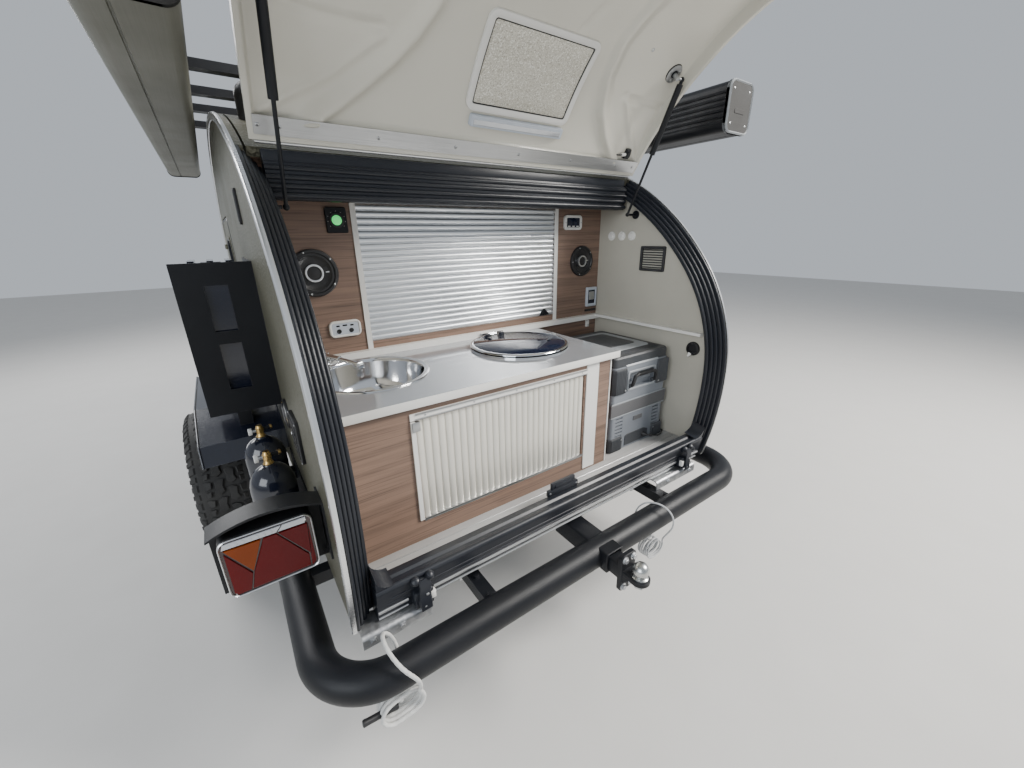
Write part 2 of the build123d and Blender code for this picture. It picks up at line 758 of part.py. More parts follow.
# Two ropes, each looped round the bumper tube with its spare length in a hank below
left_rope_width = 10.0
left_rope_points = [
    (-692, -1738, 402),
    (-674, -1697, 416),
    (-664, -1669, 470),
    (-676, -1666, 530),
    (-702, -1684, 574),
    (-706, -1734, 574),
    (-688, -1776, 542),
    (-656, -1785, 492),
    (-646, -1765, 438),
    (-662, -1742, 404),
]
right_rope_width = 6.0
right_rope_points = [
    (252, -1736, 404),
    (236, -1702, 426),
    (230, -1680, 472),
    (238, -1686, 522),
    (256, -1714, 552),
    (278, -1762, 556),
    (294, -1796, 524),
    (299, -1800, 474),
    (292, -1776, 432),
    (276, -1742, 404),
]


def bend_radii(points):
    """One radius for each corner: 0.45 of the shorter run, over the tangent of half the turn."""
    runs = [Vector(*b) - Vector(*a) for a, b in zip(points, points[1:])]
    radii = []
    for a, b in zip(runs, runs[1:]):
        half_turn = radians(a.get_angle(b) / 2)
        radii.append(0.45 * min(a.length, b.length) * cos(half_turn) / sin(half_turn))
    return radii


def rope_tube(points, width):
    """A round rope along straight runs and tangent arcs."""
    with BuildPart() as rope:
        with BuildLine() as path:
            FilletPolyline(*points, radius=bend_radii(points))
        with BuildSketch(Plane(origin=path.line @ 0, z_dir=path.line % 0)):
            Circle(width / 2)
        sweep()
    return rope.part, sum(edge.length for edge in path.edges())


for side, points, width in (
    ("left", left_rope_points, left_rope_width),
    ("right", right_rope_points, right_rope_width),
):
    rope, rope_length = rope_tube(points, width)
    section = pi * width * width / 4
    print(f"rope_{side} radii", [round(r, 1) for r in bend_radii(points)])
    print(f"rope_{side} volume over section and length", round(rope.volume / (section * rope_length), 4))
    save(rope, f"rope_{side}")

# The left hank lies across the loop, with the toggle at its rope's end
with BuildPart() as left_hank:
    block((-746, -1761, 355), (-634, -1703, 415))
    fillet(left_hank.edges(), 26)
    bar((-784, -1735, 392), (-700, -1735, 381), 8)
save(left_hank.part, "rope_left_hank")

# The right hank fans out downward
with BuildPart() as right_hank:
    with BuildSketch(Plane.XZ.offset(1764)):
        with BuildLine():
            Polyline((240, 412), (290, 412), (318, 352), (290, 322), (238, 326), (212, 356), close=True)
        make_face()
    extrude(amount=-56)
    fillet(right_hank.edges(), 18)
save(right_hank.part, "rope_right_hank")

# Fenders: folded sheet with an outer lip and a flange on the wall
fender_outer = 1030.0
fender_points = [(348, 690), (380, 760), (600, 830), (1100, 830), (1320, 760), (1352, 690)]
fender_line = [(hinge_y + y, z) for y, z in fender_points]


def fender_strip(x, width, depth):
    """The fender's bent line as a strip, depth thick below the line, from x outward."""
    with BuildPart() as strip:
        with BuildSketch(Plane.YZ.offset(x)):
            with BuildLine() as path:
                Polyline(*fender_line)
                offset(amount=depth, side=Side.RIGHT)
            make_face()
        extrude(amount=width)
    return strip.part


with BuildPart() as fenders:
    add(fender_strip(body_half, fender_outer - body_half, 4))
    add(fender_strip(fender_outer - 4, 4, 45))
    add(fender_strip(body_half, 4, 40))
    mirror(about=Plane.YZ)
save(fenders.part, "fenders")

# Tail lamps under arched brackets
lamp_y = hinge_y - 380.0
lamp_z = 767.0
with BuildPart() as tail_lamps:
    with BuildSketch(Plane.XZ.offset(-lamp_y)):
        with Locations((875, lamp_z)):
            RectangleRounded(190, 155, 22)
    extrude(amount=-56)
    fillet(tail_lamps.faces().sort_by(Axis.Y)[0].edges(), 8)
    mirror(about=Plane.YZ)
save(tail_lamps.part, "tail_lamps")

with BuildPart() as lamp_brackets:
    with BuildSketch(Plane.XZ.offset(-lamp_y - 56)):
        with BuildLine():
            Polyline((body_half, 858), (body_half, 670), (985, 670), (985, 858))
            ThreePointArc((985, 858), (868, 884), (body_half, 858))
        make_face()
    extrude(amount=-6)
    with BuildSketch(Plane.XZ.offset(-lamp_y)):
        with BuildLine():
            ThreePointArc((985, 858), (868, 884), (body_half, 858))
            Line((body_half, 858), (body_half, 853))
            ThreePointArc((body_half, 853), (868, 878), (985, 853))
            Line((985, 853), (985, 858))
        make_face()
    extrude(amount=-60)
    block((body_half, lamp_y, 690), (body_half + 5, lamp_y + 90, 857))
    mirror(about=Plane.YZ)

# Gas bottles on their shelf, on the left side
bottle_radius = 65.0
bottle_x = -835.0
bottle_places = (hinge_y + 20.0, hinge_y + 246.0)
shelf_z = 500.0
with BuildPart() as gas_shelf:
    block((-905, hinge_y - 60, shelf_z - 8), (-body_half, hinge_y + 322, shelf_z))
    block((-body_half - 5, hinge_y - 60, shelf_z - 8), (-body_half, hinge_y + 322, 700))
    for y in bottle_places:
        bar((bottle_x, y, 620), (bottle_x, y, 645), bottle_radius + 5)
        block((bottle_x, y - 30, 620), (-body_half, y + 30, 645))
        bar((bottle_x, y, shelf_z), (bottle_x, y, 700), bottle_radius + 0.3, mode=Mode.SUBTRACT)

with BuildPart() as gas_bottles:
    for y in bottle_places:
        with BuildSketch(Plane.XZ.offset(-y)):
            with BuildLine():
                Line((bottle_x, shelf_z), (bottle_x + bottle_radius - 12, shelf_z))
                Line((bottle_x + bottle_radius - 12, shelf_z), (bottle_x + bottle_radius, shelf_z + 12))
                Line((bottle_x + bottle_radius, shelf_z + 12), (bottle_x + bottle_radius, 750))
                RadiusArc((bottle_x + bottle_radius, 750), (bottle_x + 16, 800), -50)
                Polyline((bottle_x + 16, 800), (bottle_x + 16, 850), (bottle_x, 850), (bottle_x, shelf_z))
            make_face()
        revolve(axis=Axis((bottle_x, y, 0), (0, 0, 1)))
        bar((bottle_x - 34, y, 832), (bottle_x + 34, y, 832), 10)
save(gas_bottles.part, "gas_bottles")

# Fuel can in its holder, on the left side above the fender
can_low_z = 928.0
can_y = (hinge_y + 228.0, hinge_y + 573.0)
can_x = (-940.0, -770.0)
with BuildPart() as fuel_can:
    block((can_x[0], can_y[0], can_low_z), (can_x[1], can_y[1], 1350))
    fillet(fuel_can.edges(), 24)
    for x in (-905, -855, -805):
        block((x - 9, can_y[0] + 90, 1345), (x + 9, can_y[0] + 112, 1385))
        block((x - 9, can_y[1] - 130, 1345), (x + 9, can_y[1] - 108, 1385))
        block((x - 9, can_y[0] + 90, 1380), (x + 9, can_y[1] - 108, 1396))
    bar((-855, can_y[1] - 60, 1345), (-855, can_y[1] - 60, 1385), 30)
save(fuel_can.part, "fuel_can")

holder_x = (-957.0, -body_half)
with BuildPart() as can_holder:
    block((holder_x[0], can_y[0] - 12, can_low_z - 8), (holder_x[1], can_y[1] + 12, can_low_z))
    block((holder_x[0], can_y[0] - 12, can_low_z - 8), (holder_x[1], can_y[0] - 6, 1395))
    block((-885, can_y[0] - 13, 1000), (-825, can_y[0] - 5, 1330), mode=Mode.SUBTRACT)
    block((holder_x[1] - 5, can_y[0] - 12, 840), (holder_x[1], can_y[1] + 12, 1395))
    block((holder_x[0], can_y[0] - 12, 1150), (holder_x[1], can_y[0] - 6, 1190))
    block((holder_x[0], can_y[0] - 12, 1150), (holder_x[0] + 5, can_y[1] + 12, 1190))
    block((holder_x[0], can_y[1] + 6, 1150), (holder_x[1], can_y[1] + 12, 1190))
    with BuildSketch(Plane.YZ.offset(-890)):
        with BuildLine():
            Polyline(
                (fender_line[1][0] + 70, 782.3),
                (fender_line[1][0] + 190, 820.5),
                (fender_line[1][0] + 190, can_low_z - 4),
                (fender_line[1][0] + 70, can_low_z - 4),
                close=True,
            )
        make_face()
    extrude(amount=45)

with BuildPart() as side_brackets:
    add([lamp_brackets.part, gas_shelf.part, can_holder.part])
save(side_brackets.part, "side_brackets")

# Roof bars with feet, a low dome, and an awning case along each side
bar_low_z = 1937.0
bar_places = (420.0, 700.0, 950.0, 1250.0)
awning_inner = 800.0
with BuildPart() as roof_bars:
    for y in bar_places:
        block((-awning_inner, hinge_y + y - 20, bar_low_z), (awning_inner, hinge_y + y + 20, bar_low_z + 25))
        for x in (-600, 600):
            block((x - 35, hinge_y + y - 17, 1780), (x + 35, hinge_y + y + 17, bar_low_z + 2))
    add(body_slab(0, -wall_inner, wall_inner), mode=Mode.SUBTRACT)
save(roof_bars.part, "roof_bars")

dome_y = hinge_y + 330.0
with BuildPart() as roof_dome:
    bar((-650, dome_y, 1760), (-650, dome_y, 1862), 44)
    with Locations((-650, dome_y, 1862)):
        Sphere(44)
    add(body_slab(0, -wall_inner, wall_inner), mode=Mode.SUBTRACT)
save(roof_dome.part, "roof_dome")

awning_y = (hinge_y - 350.0, hinge_y + 2000.0)
with BuildPart() as awnings:
    with BuildSketch(Plane.XZ.offset(-awning_y[0])):
        with Locations((awning_inner + 77.5, 1892.5)):
            RectangleRounded(155, 165, 28)
        with Locations((awning_inner + 70, 1975)):
            with GridLocations(24, 1, 4, 1):
                Rectangle(9, 14, mode=Mode.SUBTRACT)
        with Locations((awning_inner + 1, 1892.5)):
            Rectangle(2, 110)
    extrude(amount=-(awning_y[1] - awning_y[0]))
    for y in awning_y:
        with BuildSketch(Plane.XZ.offset(-y + 9)):
            with Locations((awning_inner + 79.5, 1892.5)):
                RectangleRounded(159, 171, 30)
        extrude(amount=-18)
    mirror(about=Plane.YZ)
save(awnings.part, "awnings")

# Vent and inlets on the left side
with BuildPart() as side_inlets:
    block((-body_half - 8, hinge_y + 210, 1500), (-body_half, hinge_y + 240, 1600))
    with BuildSketch(Plane.YZ.offset(-body_half)):
        with Locations((hinge_y + 80, 930)):
            Circle(50)
        with Locations((hinge_y - 120, 930)):
            RectangleRounded(120, 130, 12)
    extrude(amount=-14)
save(side_inlets.part, "side_inlets")

# Galley: counter top with its sink and hob
with BuildPart() as counter:
    block(
        (-wall_inner, counter_front_y, counter_top_z - counter_thick),
        (counter_right, bulkhead_y, counter_top_z),
    )
    bar((sink_x, sink_y, 900), (sink_x, sink_y, 1100), sink_radius - 8, mode=Mode.SUBTRACT)
    bar((hob_x, hob_y, 900), (hob_x, hob_y, 1100), hob_radius - 12, mode=Mode.SUBTRACT)
save(counter.part, "counter_top")

sink_depth = 130.0
with BuildPart() as sink:
    with BuildSketch(Plane.XZ.offset(-sink_y)):
        with BuildLine():
            Polyline(
                (sink_x, counter_top_z - sink_depth),
                (sink_x + sink_radius - 40, counter_top_z - sink_depth),
                (sink_x + sink_radius - 14, counter_top_z - sink_depth + 30),
                (sink_x + sink_radius - 11, counter_top_z),
                (sink_x + sink_radius + 5, counter_top_z),
                (sink_x + sink_radius + 5, counter_top_z + 4),
                (sink_x + sink_radius - 14, counter_top_z + 4),
                (sink_x + sink_radius - 17, counter_top_z - sink_depth + 32),
                (sink_x + sink_radius - 41, counter_top_z - sink_depth + 3),
                (sink_x, counter_top_z - sink_depth + 3),
                close=True,
            )
        make_face()
    revolve(axis=Axis((sink_x, sink_y, 0), (0, 0, 1)))

tap_foot = (-604.0, hinge_y + 122.0, counter_top_z)
tap_bend = (tap_foot[0], tap_foot[1], counter_top_z + 37)
tap_tip = (-545.0, hinge_y - 60.0, counter_top_z + 37)
with BuildPart() as tap:
    bar(tap_foot, (tap_foot[0], tap_foot[1], counter_top_z + 22), 15)
    bar(tap_foot, tap_bend, 12)
    with Locations(tap_bend):
        Sphere(12)
    bar(tap_bend, tap_tip, 9)
    with Locations(tap_tip):
        Box(26, 26, 24)

with BuildPart() as sink_and_tap:
    add([sink.part, tap.part])
save(sink_and_tap.part, "sink")

with BuildPart() as hob:
    with BuildSketch(Plane.XZ.offset(-hob_y)):
        with BuildLine():
            Polyline(
                (hob_x, counter_top_z - 42),
                (hob_x + hob_radius - 30, counter_top_z - 42),
                (hob_x + hob_radius - 15, counter_top_z),
                (hob_x + hob_radius, counter_top_z),
                (hob_x + hob_radius, counter_top_z + 5),
                (hob_x + hob_radius - 20, counter_top_z + 5),
                (hob_x + hob_radius - 34, counter_top_z - 39),
                (hob_x, counter_top_z - 39),
                close=True,
            )
        make_face()
    revolve(axis=Axis((hob_x, hob_y, 0), (0, 0, 1)))
    for x, size in ((-75, 42), (75, 32)):
        bar((hob_x + x, hob_y, counter_top_z - 40), (hob_x + x, hob_y, counter_top_z - 14), size)

hob_hinge_y = hob_y + hob_radius + 8.0
hob_hinge_z = counter_top_z + 14.0
hob_lid_low_z = counter_top_z + 10.0
hob_lid_high_z = counter_top_z + 16.0
with BuildPart() as hob_lid:
    bar((hob_x, hob_y, hob_lid_low_z), (hob_x, hob_y, hob_lid_high_z), hob_radius)
    block(
        (hob_x - 40, hob_y + hob_radius - 20, hob_lid_low_z),
        (hob_x + 40, hob_hinge_y, hob_lid_high_z),
    )
    bar((hob_x - 40, hob_hinge_y, hob_hinge_z), (hob_x + 40, hob_hinge_y, hob_hinge_z), 7)
    bar(
        (hob_x - 41, hob_hinge_y, hob_hinge_z),
        (hob_x + 41, hob_hinge_y, hob_hinge_z),
        3.05,
        mode=Mode.SUBTRACT,
    )
save(hob_lid.part, "hob_lid")

with BuildPart() as hob_hinge:
    bar((hob_x - 52, hob_hinge_y, hob_hinge_z), (hob_x + 52, hob_hinge_y, hob_hinge_z), 3)
    for x in (-47, 47):
        block(
            (hob_x + x - 5, hob_hinge_y - 6, counter_top_z),
            (hob_x + x + 5, hob_hinge_y + 6, hob_hinge_z + 5),
        )

with BuildPart() as hob_and_hinge:
    add([hob.part, hob_hinge.part])
save(hob_and_hinge.part, "hob")

# Counter front with its shutter's opening, and the cabinet's right side
shutter_left = -485.0
shutter_right = 157.0
front_low_z = 665.0
front_high_z = 985.0
with BuildPart() as counter_front:
    block(
        (-wall_inner, panel_front_y, floor_top),
        (panel_right, panel_front_y + panel_thick, counter_top_z - counter_thick),
    )
    block(
        (shutter_left, panel_front_y - 1, front_low_z),
        (shutter_right, panel_front_y + panel_thick + 1, front_high_z),
        mode=Mode.SUBTRACT,
    )
    block(
        (panel_right - panel_thick, panel_front_y, floor_top),
        (panel_right, bulkhead_y, counter_top_z - counter_thick),
    )
save(counter_front.part, "counter_front")

front_pitch = (shutter_right - shutter_left) / 28
with BuildPart() as front_shutter:
    with BuildSketch(Plane.XY.offset(front_low_z)):
        with Locations(((shutter_left + shutter_right) / 2, panel_front_y + 10)):
            Rectangle(shutter_right - shutter_left, 4)
        with Locations(((shutter_left + shutter_right) / 2, panel_front_y + 8)):
            with GridLocations(front_pitch, 0, 28, 1):
                Ellipse(front_pitch / 2 - 0.8, 5)
    extrude(amount=front_high_z - front_low_z)
save(front_shutter.part, "front_shutter")

stile_front_y = panel_front_y - 4.0
with BuildPart() as counter_trim:
    block((shutter_left - 15, stile_front_y, 988), (shutter_right + 8, panel_front_y, 1008))
    block((165, stile_front_y, 600), (224, panel_front_y, counter_top_z - counter_thick))
    block(
        (shutter_left - 15, stile_front_y - 2, front_low_z),
        (shutter_left - 2, panel_front_y, front_high_z),
    )
save(counter_trim.part, "counter_trim")

# Speakers, switches and sockets on the bulkhead, vents and caps on the right wall
speaker_radius = 75.0
vent_y = (hinge_y - 218.0, hinge_y - 91.0)
vent_z = (1302.0, 1406.0)
with BuildPart() as wall_fittings:
    for x, z in ((-587, 1352), (601, 1337)):
        bar((x, bulkhead_y - 12, z), (x, bulkhead_y, z), speaker_radius)
        bar((x, bulkhead_y - 13, z), (x, bulkhead_y - 5, z), speaker_radius - 12, mode=Mode.SUBTRACT)
        bar((x, bulkhead_y - 10, z), (x, bulkhead_y - 4, z), 20)
    for low_x, high_x, low_z, high_z in (
        (-527, -462, 1473, 1550),
        (-570, -465, 1119, 1204),
        (479, 593, 1477, 1540),
        (640, 712, 1113, 1212),
    ):
        block((low_x, bulkhead_y - 14, low_z), (high_x, bulkhead_y, high_z))
    for y in (87, 26, -32):
        bar((wall_inner - 12, hinge_y + y, 1448), (wall_inner, hinge_y + y, 1448), 22)
    block((wall_inner - 12, vent_y[0], vent_z[0]), (wall_inner, vent_y[1], vent_z[1]))
    with Locations((wall_inner - 12, (vent_y[0] + vent_y[1]) / 2, (vent_z[0] + vent_z[1]) / 2)):
        with Locations(*[(0, 0, step * 14) for step in range(-3, 4)]):
            Box(12, 104, 6, rotation=(0, 35, 0), mode=Mode.SUBTRACT)
    bar((wall_inner - 14, hinge_y - 400, 1004), (wall_inner, hinge_y - 400, 1004), 28)
save(wall_fittings.part, "wall_fittings")

# Cooler beside the counter
cooler_wall = 32.0
cooler_middle = (cooler_left + cooler_right) / 2
handle_z = 895.0
with BuildPart() as cooler:
    block((cooler_left, cooler_front_y, cooler_low_z), (cooler_right, cooler_back_y, cooler_lid_z - 1))
    fillet(cooler.edges().filter_by(Axis.Z), 18)
    # Handle in its recess, and a column of louvres on either side below it
    block(
        (cooler_middle - 78, cooler_front_y - 1, handle_z - 32),
        (cooler_middle + 78, cooler_front_y + 16, handle_z + 32),
        mode=Mode.SUBTRACT,
    )
    handle_y = cooler_front_y + 8
    handle_ends = (cooler_middle - 60, cooler_middle + 60)
    bar((handle_ends[0], handle_y, handle_z), (handle_ends[1], handle_y, handle_z), 7)
    for x in handle_ends:
        bar((x, handle_y, handle_z), (x, handle_y + 12, handle_z), 7)
    for x in (cooler_left + 52, cooler_right - 52):
        for step in range(8):
            z = cooler_low_z + 62 + 16 * step
            block((x - 22, cooler_front_y - 1, z), (x + 22, cooler_front_y + 8, z + 7), mode=Mode.SUBTRACT)
    block(
        (cooler_left + cooler_wall, cooler_front_y + cooler_wall, cooler_low_z + 60),
        (cooler_right - cooler_wall, cooler_back_y - cooler_wall, cooler_lid_z + 10),
        mode=Mode.SUBTRACT,
    )
    for x in (cooler_left + 60, cooler_right - 60):
        bar((x - 18, cooler_back_y + 8, cooler_lid_z), (x + 18, cooler_back_y + 8, cooler_lid_z), 7)
        bar((x - 45, cooler_back_y + 8, cooler_lid_z), (x + 45, cooler_back_y + 8, cooler_lid_z), 3)
        block((x - 18, cooler_back_y - 4, cooler_lid_z - 30), (x + 18, cooler_back_y + 8, cooler_lid_z - 1))
save(cooler.part, "cooler_body")

with BuildPart() as cooler_lid:
    block((cooler_left, cooler_front_y, cooler_lid_z), (cooler_right, cooler_back_y, cooler_top_z))
    fillet(cooler_lid.edges().filter_by(Axis.Z), 18)
    fillet(cooler_lid.faces().sort_by(Axis.Z)[-1].edges(), 8)
    for x in (cooler_left + 60, cooler_right - 60):
        block(
            (x - 19, cooler_back_y - 5, cooler_lid_z - 1),
            (x + 19, cooler_back_y + 1, cooler_lid_z + 10),
            mode=Mode.SUBTRACT,
        )
        for shift in (-32, 32):
            bar(
                (x + shift - 12, cooler_back_y + 8, cooler_lid_z),
                (x + shift + 12, cooler_back_y + 8, cooler_lid_z),
                7,
            )
            block(
                (x + shift - 12, cooler_back_y - 4, cooler_lid_z),
                (x + shift + 12, cooler_back_y + 8, cooler_lid_z + 7),
            )
        bar(
            (x - 50, cooler_back_y + 8, cooler_lid_z),
            (x + 50, cooler_back_y + 8, cooler_lid_z),
            3.05,
            mode=Mode.SUBTRACT,
        )
save(cooler_lid.part, "cooler_lid")

# Rubber latches below the lid's edge, and the striker plate on the sill
latch_x = 575.0
with BuildPart() as latches:
    for x in (-latch_x, latch_x):
        block((x - 15, hinge_y - 532, 538), (x + 15, hinge_y - 517, 640))
        block((x - 22, hinge_y - 524, 545), (x + 22, hinge_y - 480, 600))
        bar((x - 32, hinge_y - 528, 640), (x + 32, hinge_y - 528, 640), 9)
    add(opening_profile.part, mode=Mode.SUBTRACT)
    add(sill_brackets.part, mode=Mode.SUBTRACT)
    block((-109, hinge_y - 462, sill_top), (22, hinge_y - 450, 695))
save(latches.part, "latches")
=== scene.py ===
import math

import bmesh
import bpy
from mathutils import Matrix, Vector


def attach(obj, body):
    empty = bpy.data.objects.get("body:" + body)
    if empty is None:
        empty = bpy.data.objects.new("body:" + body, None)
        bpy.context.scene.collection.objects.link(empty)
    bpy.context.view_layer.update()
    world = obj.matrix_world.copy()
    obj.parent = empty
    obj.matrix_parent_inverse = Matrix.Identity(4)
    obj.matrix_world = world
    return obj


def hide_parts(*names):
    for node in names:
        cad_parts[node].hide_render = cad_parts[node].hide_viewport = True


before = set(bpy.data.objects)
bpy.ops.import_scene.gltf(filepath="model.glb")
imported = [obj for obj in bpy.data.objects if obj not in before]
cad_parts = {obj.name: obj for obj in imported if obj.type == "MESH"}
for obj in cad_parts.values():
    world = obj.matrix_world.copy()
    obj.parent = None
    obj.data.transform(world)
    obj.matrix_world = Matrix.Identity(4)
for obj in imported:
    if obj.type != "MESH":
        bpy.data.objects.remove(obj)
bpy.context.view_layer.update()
scene = bpy.context.scene

hingeY, hingeZ = -1.13, 1.69
wallX = 0.75
rightward, forward, upward = (1, 0, 0), (0, 1, 0), (0, 0, 1)
leftward, rearward = (-1, 0, 0), (0, -1, 0)


# Shapes: each helper adds closed forms to a bmesh
def addPart(bm, part, slot=0):
    bmesh.ops.recalc_face_normals(part, faces=part.faces)
    for face in part.faces:
        face.material_index = slot
    temp = bpy.data.meshes.new("temp")
    part.to_mesh(temp)
    bm.from_mesh(temp)
    bpy.data.meshes.remove(temp)
    part.free()


def addRings(bm, rows, slot=0, closed=False, strips=False):
    # a closed form through rings of points, where a ring of one point is a tip; each open end gets one face,
    # or strips across it
    part = bmesh.new()
    rings = [[part.verts.new(p) for p in row] for row in rows]
    for a, b in zip(rings, rings[1:] + (rings[:1] if closed else [])):
        for k in range(max(len(a), len(b))):
            corners = (a[k % len(a)], a[(k + 1) % len(a)], b[(k + 1) % len(b)], b[k % len(b)])
            part.faces.new(list(dict.fromkeys(corners)))
    for ring in () if closed else (rings[0], rings[-1]):
        if strips:
            for k in range(len(ring) // 2 - 1):
                part.faces.new((ring[k], ring[k + 1], ring[-k - 2], ring[-k - 1]))
        elif len(ring) > 1:
            part.faces.new(ring)
    addPart(bm, part, slot)


def circlePoints(radius, steps=32):
    return [(radius * math.cos(2 * math.pi * k / steps), radius * math.sin(2 * math.pi * k / steps))
            for k in range(steps)]


def roundedRect(width, height, radius, steps=5, runs=(1, 1)):
    # runs says how many lengths the level and the upright sides are cut into
    points = []
    for cx, cy, start in ((1, 1, 0), (-1, 1, 90), (-1, -1, 180), (1, -1, 270)):
        x, y = cx * (width / 2 - radius), cy * (height / 2 - radius)
        for k in range(steps + 1):
            a = math.radians(start + 90 * k / steps)
            points.append((x + radius * math.cos(a), y + radius * math.sin(a)))
        if cx * cy > 0:
            points += [(x * (1 - 2 * k / runs[0]), cy * height / 2) for k in range(1, runs[0])]
        else:
            points += [(cx * width / 2, y * (1 - 2 * k / runs[1])) for k in range(1, runs[1])]
    return points


def shifted(points, du, dv):
    return [(u + du, v + dv) for u, v in points]


def rectAt(place, width, height, radius, steps=6):
    return shifted(roundedRect(width, height, radius, steps), *place)


def addBlock(bm, low, high, edge=0.002, slot=0, steps=2, turn=None):
    part = bmesh.new()
    size = [b - a for a, b in zip(low, high)]
    middle = Vector([(a + b) / 2 for a, b in zip(low, high)])
    bmesh.ops.create_cube(part, size=1.0, matrix=Matrix.Diagonal((*size, 1.0)))
    edge = min(edge, 0.45 * min(size))
    bmesh.ops.bevel(part, geom=part.edges[:], offset=edge, segments=steps, profile=0.5, affect="EDGES")
    if turn is not None:
        part.transform(turn)
    part.transform(Matrix.Translation(middle))
    addPart(bm, part, slot)


def basisFor(axis):
    z = Vector(axis).normalized()
    side = Vector(rightward) if abs(z.x) < 0.9 else Vector(forward)
    x = (side - z * side.dot(z)).normalized()
    return x, z.cross(x), z


def addLathe(bm, profile, origin, axis=upward, steps=48, slot=0, closed=False):
    # profile is a list of (radius, height) from one end of the axis to the other, or round a ring's cut shape
    x, y, z = basisFor(axis)
    spokes = [x * u + y * v for u, v in circlePoints(1.0, steps)]
    rows = []
    for radius, height in profile:
        middle = Vector(origin) + z * height
        rows.append([middle + spoke * radius for spoke in spokes] if radius > 1e-6 else [middle])
    addRings(bm, rows, slot, closed)


def addRod(bm, a, b, radius, edge=0.001, steps=24, slot=0):
    a, b = Vector(a), Vector(b)
    length = (b - a).length
    edge = min(edge, 0.4 * length, 0.6 * radius)
    profile = [(0, 0), (radius - edge, 0), (radius, edge), (radius, length - edge),
               (radius - edge, length), (0, length)]
    addLathe(bm, profile, a, b - a, steps, slot)


def addTube(bm, points, section, slot=0, closed=False, up=None):
    # section is a radius, or a list of (across, along-up) points of the cut shape
    points = [Vector(p) for p in points]
    if not isinstance(section, list):
        section = circlePoints(section, 12)
    rows = []
    side = None
    count = len(points)
    for i, p in enumerate(points):
        before = points[i - 1] if i > 0 or closed else p
        after = points[(i + 1) % count] if i < count - 1 or closed else p
        along = (after - before).normalized()
        if up is not None:
            side = along.cross(Vector(up)).normalized()
        elif side is None:
            side = basisFor(along)[0]
        else:
            side = (side - along * side.dot(along)).normalized()
        top = side.cross(along)
        rows.append([p + side * s + top * t for s, t in section])
    addRings(bm, rows, slot, closed)


def addPlate(bm, outline, origin, xDir, yDir, depth, edge=0.001, slot=0, hole=None):
    # outline and hole are drawn in the plane of xDir and yDir, and depth runs along their cross product
    x, y = Vector(xDir).normalized(), Vector(yDir).normalized()
    z = x.cross(y) * (1 if depth > 0 else -1)
    depth = abs(depth)
    origin = Vector(origin)

    def levels(points, grow):
        middle = Vector((sum(p[0] for p in points), sum(p[1] for p in points))) / len(points)
        found = []
        for height, inset in ((0, 0), (depth - edge, 0), (depth, edge)):
            ring = []
            for i, p in enumerate(points):
                a, b = Vector(points[i - 1]), Vector(points[(i + 1) % len(points)])
                along = (b - a).normalized()
                normal = Vector((along.y, -along.x))
                if (Vector(p) - middle).dot(normal) < 0:
                    normal = -normal
                q = Vector(p) - normal * inset * grow
                ring.append(origin + x * q.x + y * q.y + z * height)
            found.append(ring)
        return found

    rows = levels(outline, 1)
    if hole is not None:
        rows += levels(hole, -1)[::-1]
    addRings(bm, rows, slot, hole is not None)


def addFace(bm, outline, y, depth, edge=0.001, slot=0, hole=None):
    # a plate drawn in x and z that stands out from the plane y towards the rear
    addPlate(bm, outline, (0, y, 0), rightward, upward, depth, edge, slot, hole)


def addSide(bm, outline, side, x, depth, edge=0.001, slot=0, hole=None):
    # a plate drawn in y and z that stands out from the wall at x
    shape = [(side * y, z) for y, z in outline]
    cut = [(side * y, z) for y, z in hole] if hole else None
    addPlate(bm, shape, (side * x, 0, 0), (0, side, 0), upward, depth, edge, slot, cut)


def addBolt(bm, point, normal, radius=0.006, height=0.004, kind="hex", slot=0):
    x, y, z = basisFor(normal)
    point = Vector(point)
    if kind == "hex":
        washer = 0.0012
        addLathe(bm, [(0, 0), (radius * 1.45, 0), (radius * 1.45, washer), (0, washer)], point, z, 20, slot)
        addPlate(bm, circlePoints(radius, 6), point + z * washer, x, y, height, 0.0006, slot)
    else:
        dome = [(0, 0), (radius, 0), (radius * 0.95, height * 0.5), (radius * 0.7, height * 0.85),
                (radius * 0.35, height), (0, height)]
        addLathe(bm, dome, point, z, 20, slot)


def finishPiece(bm, name, finishes, body="trailer", instead=(), angle=34):
    # finishes names the looks, in the order of the slot numbers that the helpers are given
    mesh = bpy.data.meshes.new(name)
    bm.to_mesh(mesh)
    bm.free()
    for finish in finishes:
        mesh.materials.append(looks[finish])
    mesh.polygons.foreach_set("use_smooth", [True] * len(mesh.polygons))
    mesh.set_sharp_from_angle(angle=math.radians(angle))
    piece = bpy.data.objects.new(name, mesh)
    scene.collection.objects.link(piece)
    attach(piece, body)
    if instead:
        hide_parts(*instead)
    return piece


# Shader node groups shared by the materials
def newGroup(name, inputs, output="Mask"):
    group = bpy.data.node_groups.new(name, "ShaderNodeTree")
    for label, value in inputs:
        socket = group.interface.new_socket(name=label, in_out="INPUT", socket_type="NodeSocketFloat")
        socket.default_value = value
    group.interface.new_socket(name=output, in_out="OUTPUT", socket_type="NodeSocketFloat")
    return group, group.nodes.new("NodeGroupInput"), group.nodes.new("NodeGroupOutput")


def feed(tree, socket, value):
    # a socket takes a link from another node or a plain value, and a colour gets its alpha
    if isinstance(value, bpy.types.NodeSocket):
        tree.links.new(value, socket)
    else:
        socket.default_value = (*value, 1.0) if isinstance(value, tuple) else value


def mathNode(tree, kind, a, b):
    node = tree.nodes.new("ShaderNodeMath")
    node.operation = kind
    feed(tree, node.inputs[0], a)
    feed(tree, node.inputs[1], b)
    return node.outputs[0]


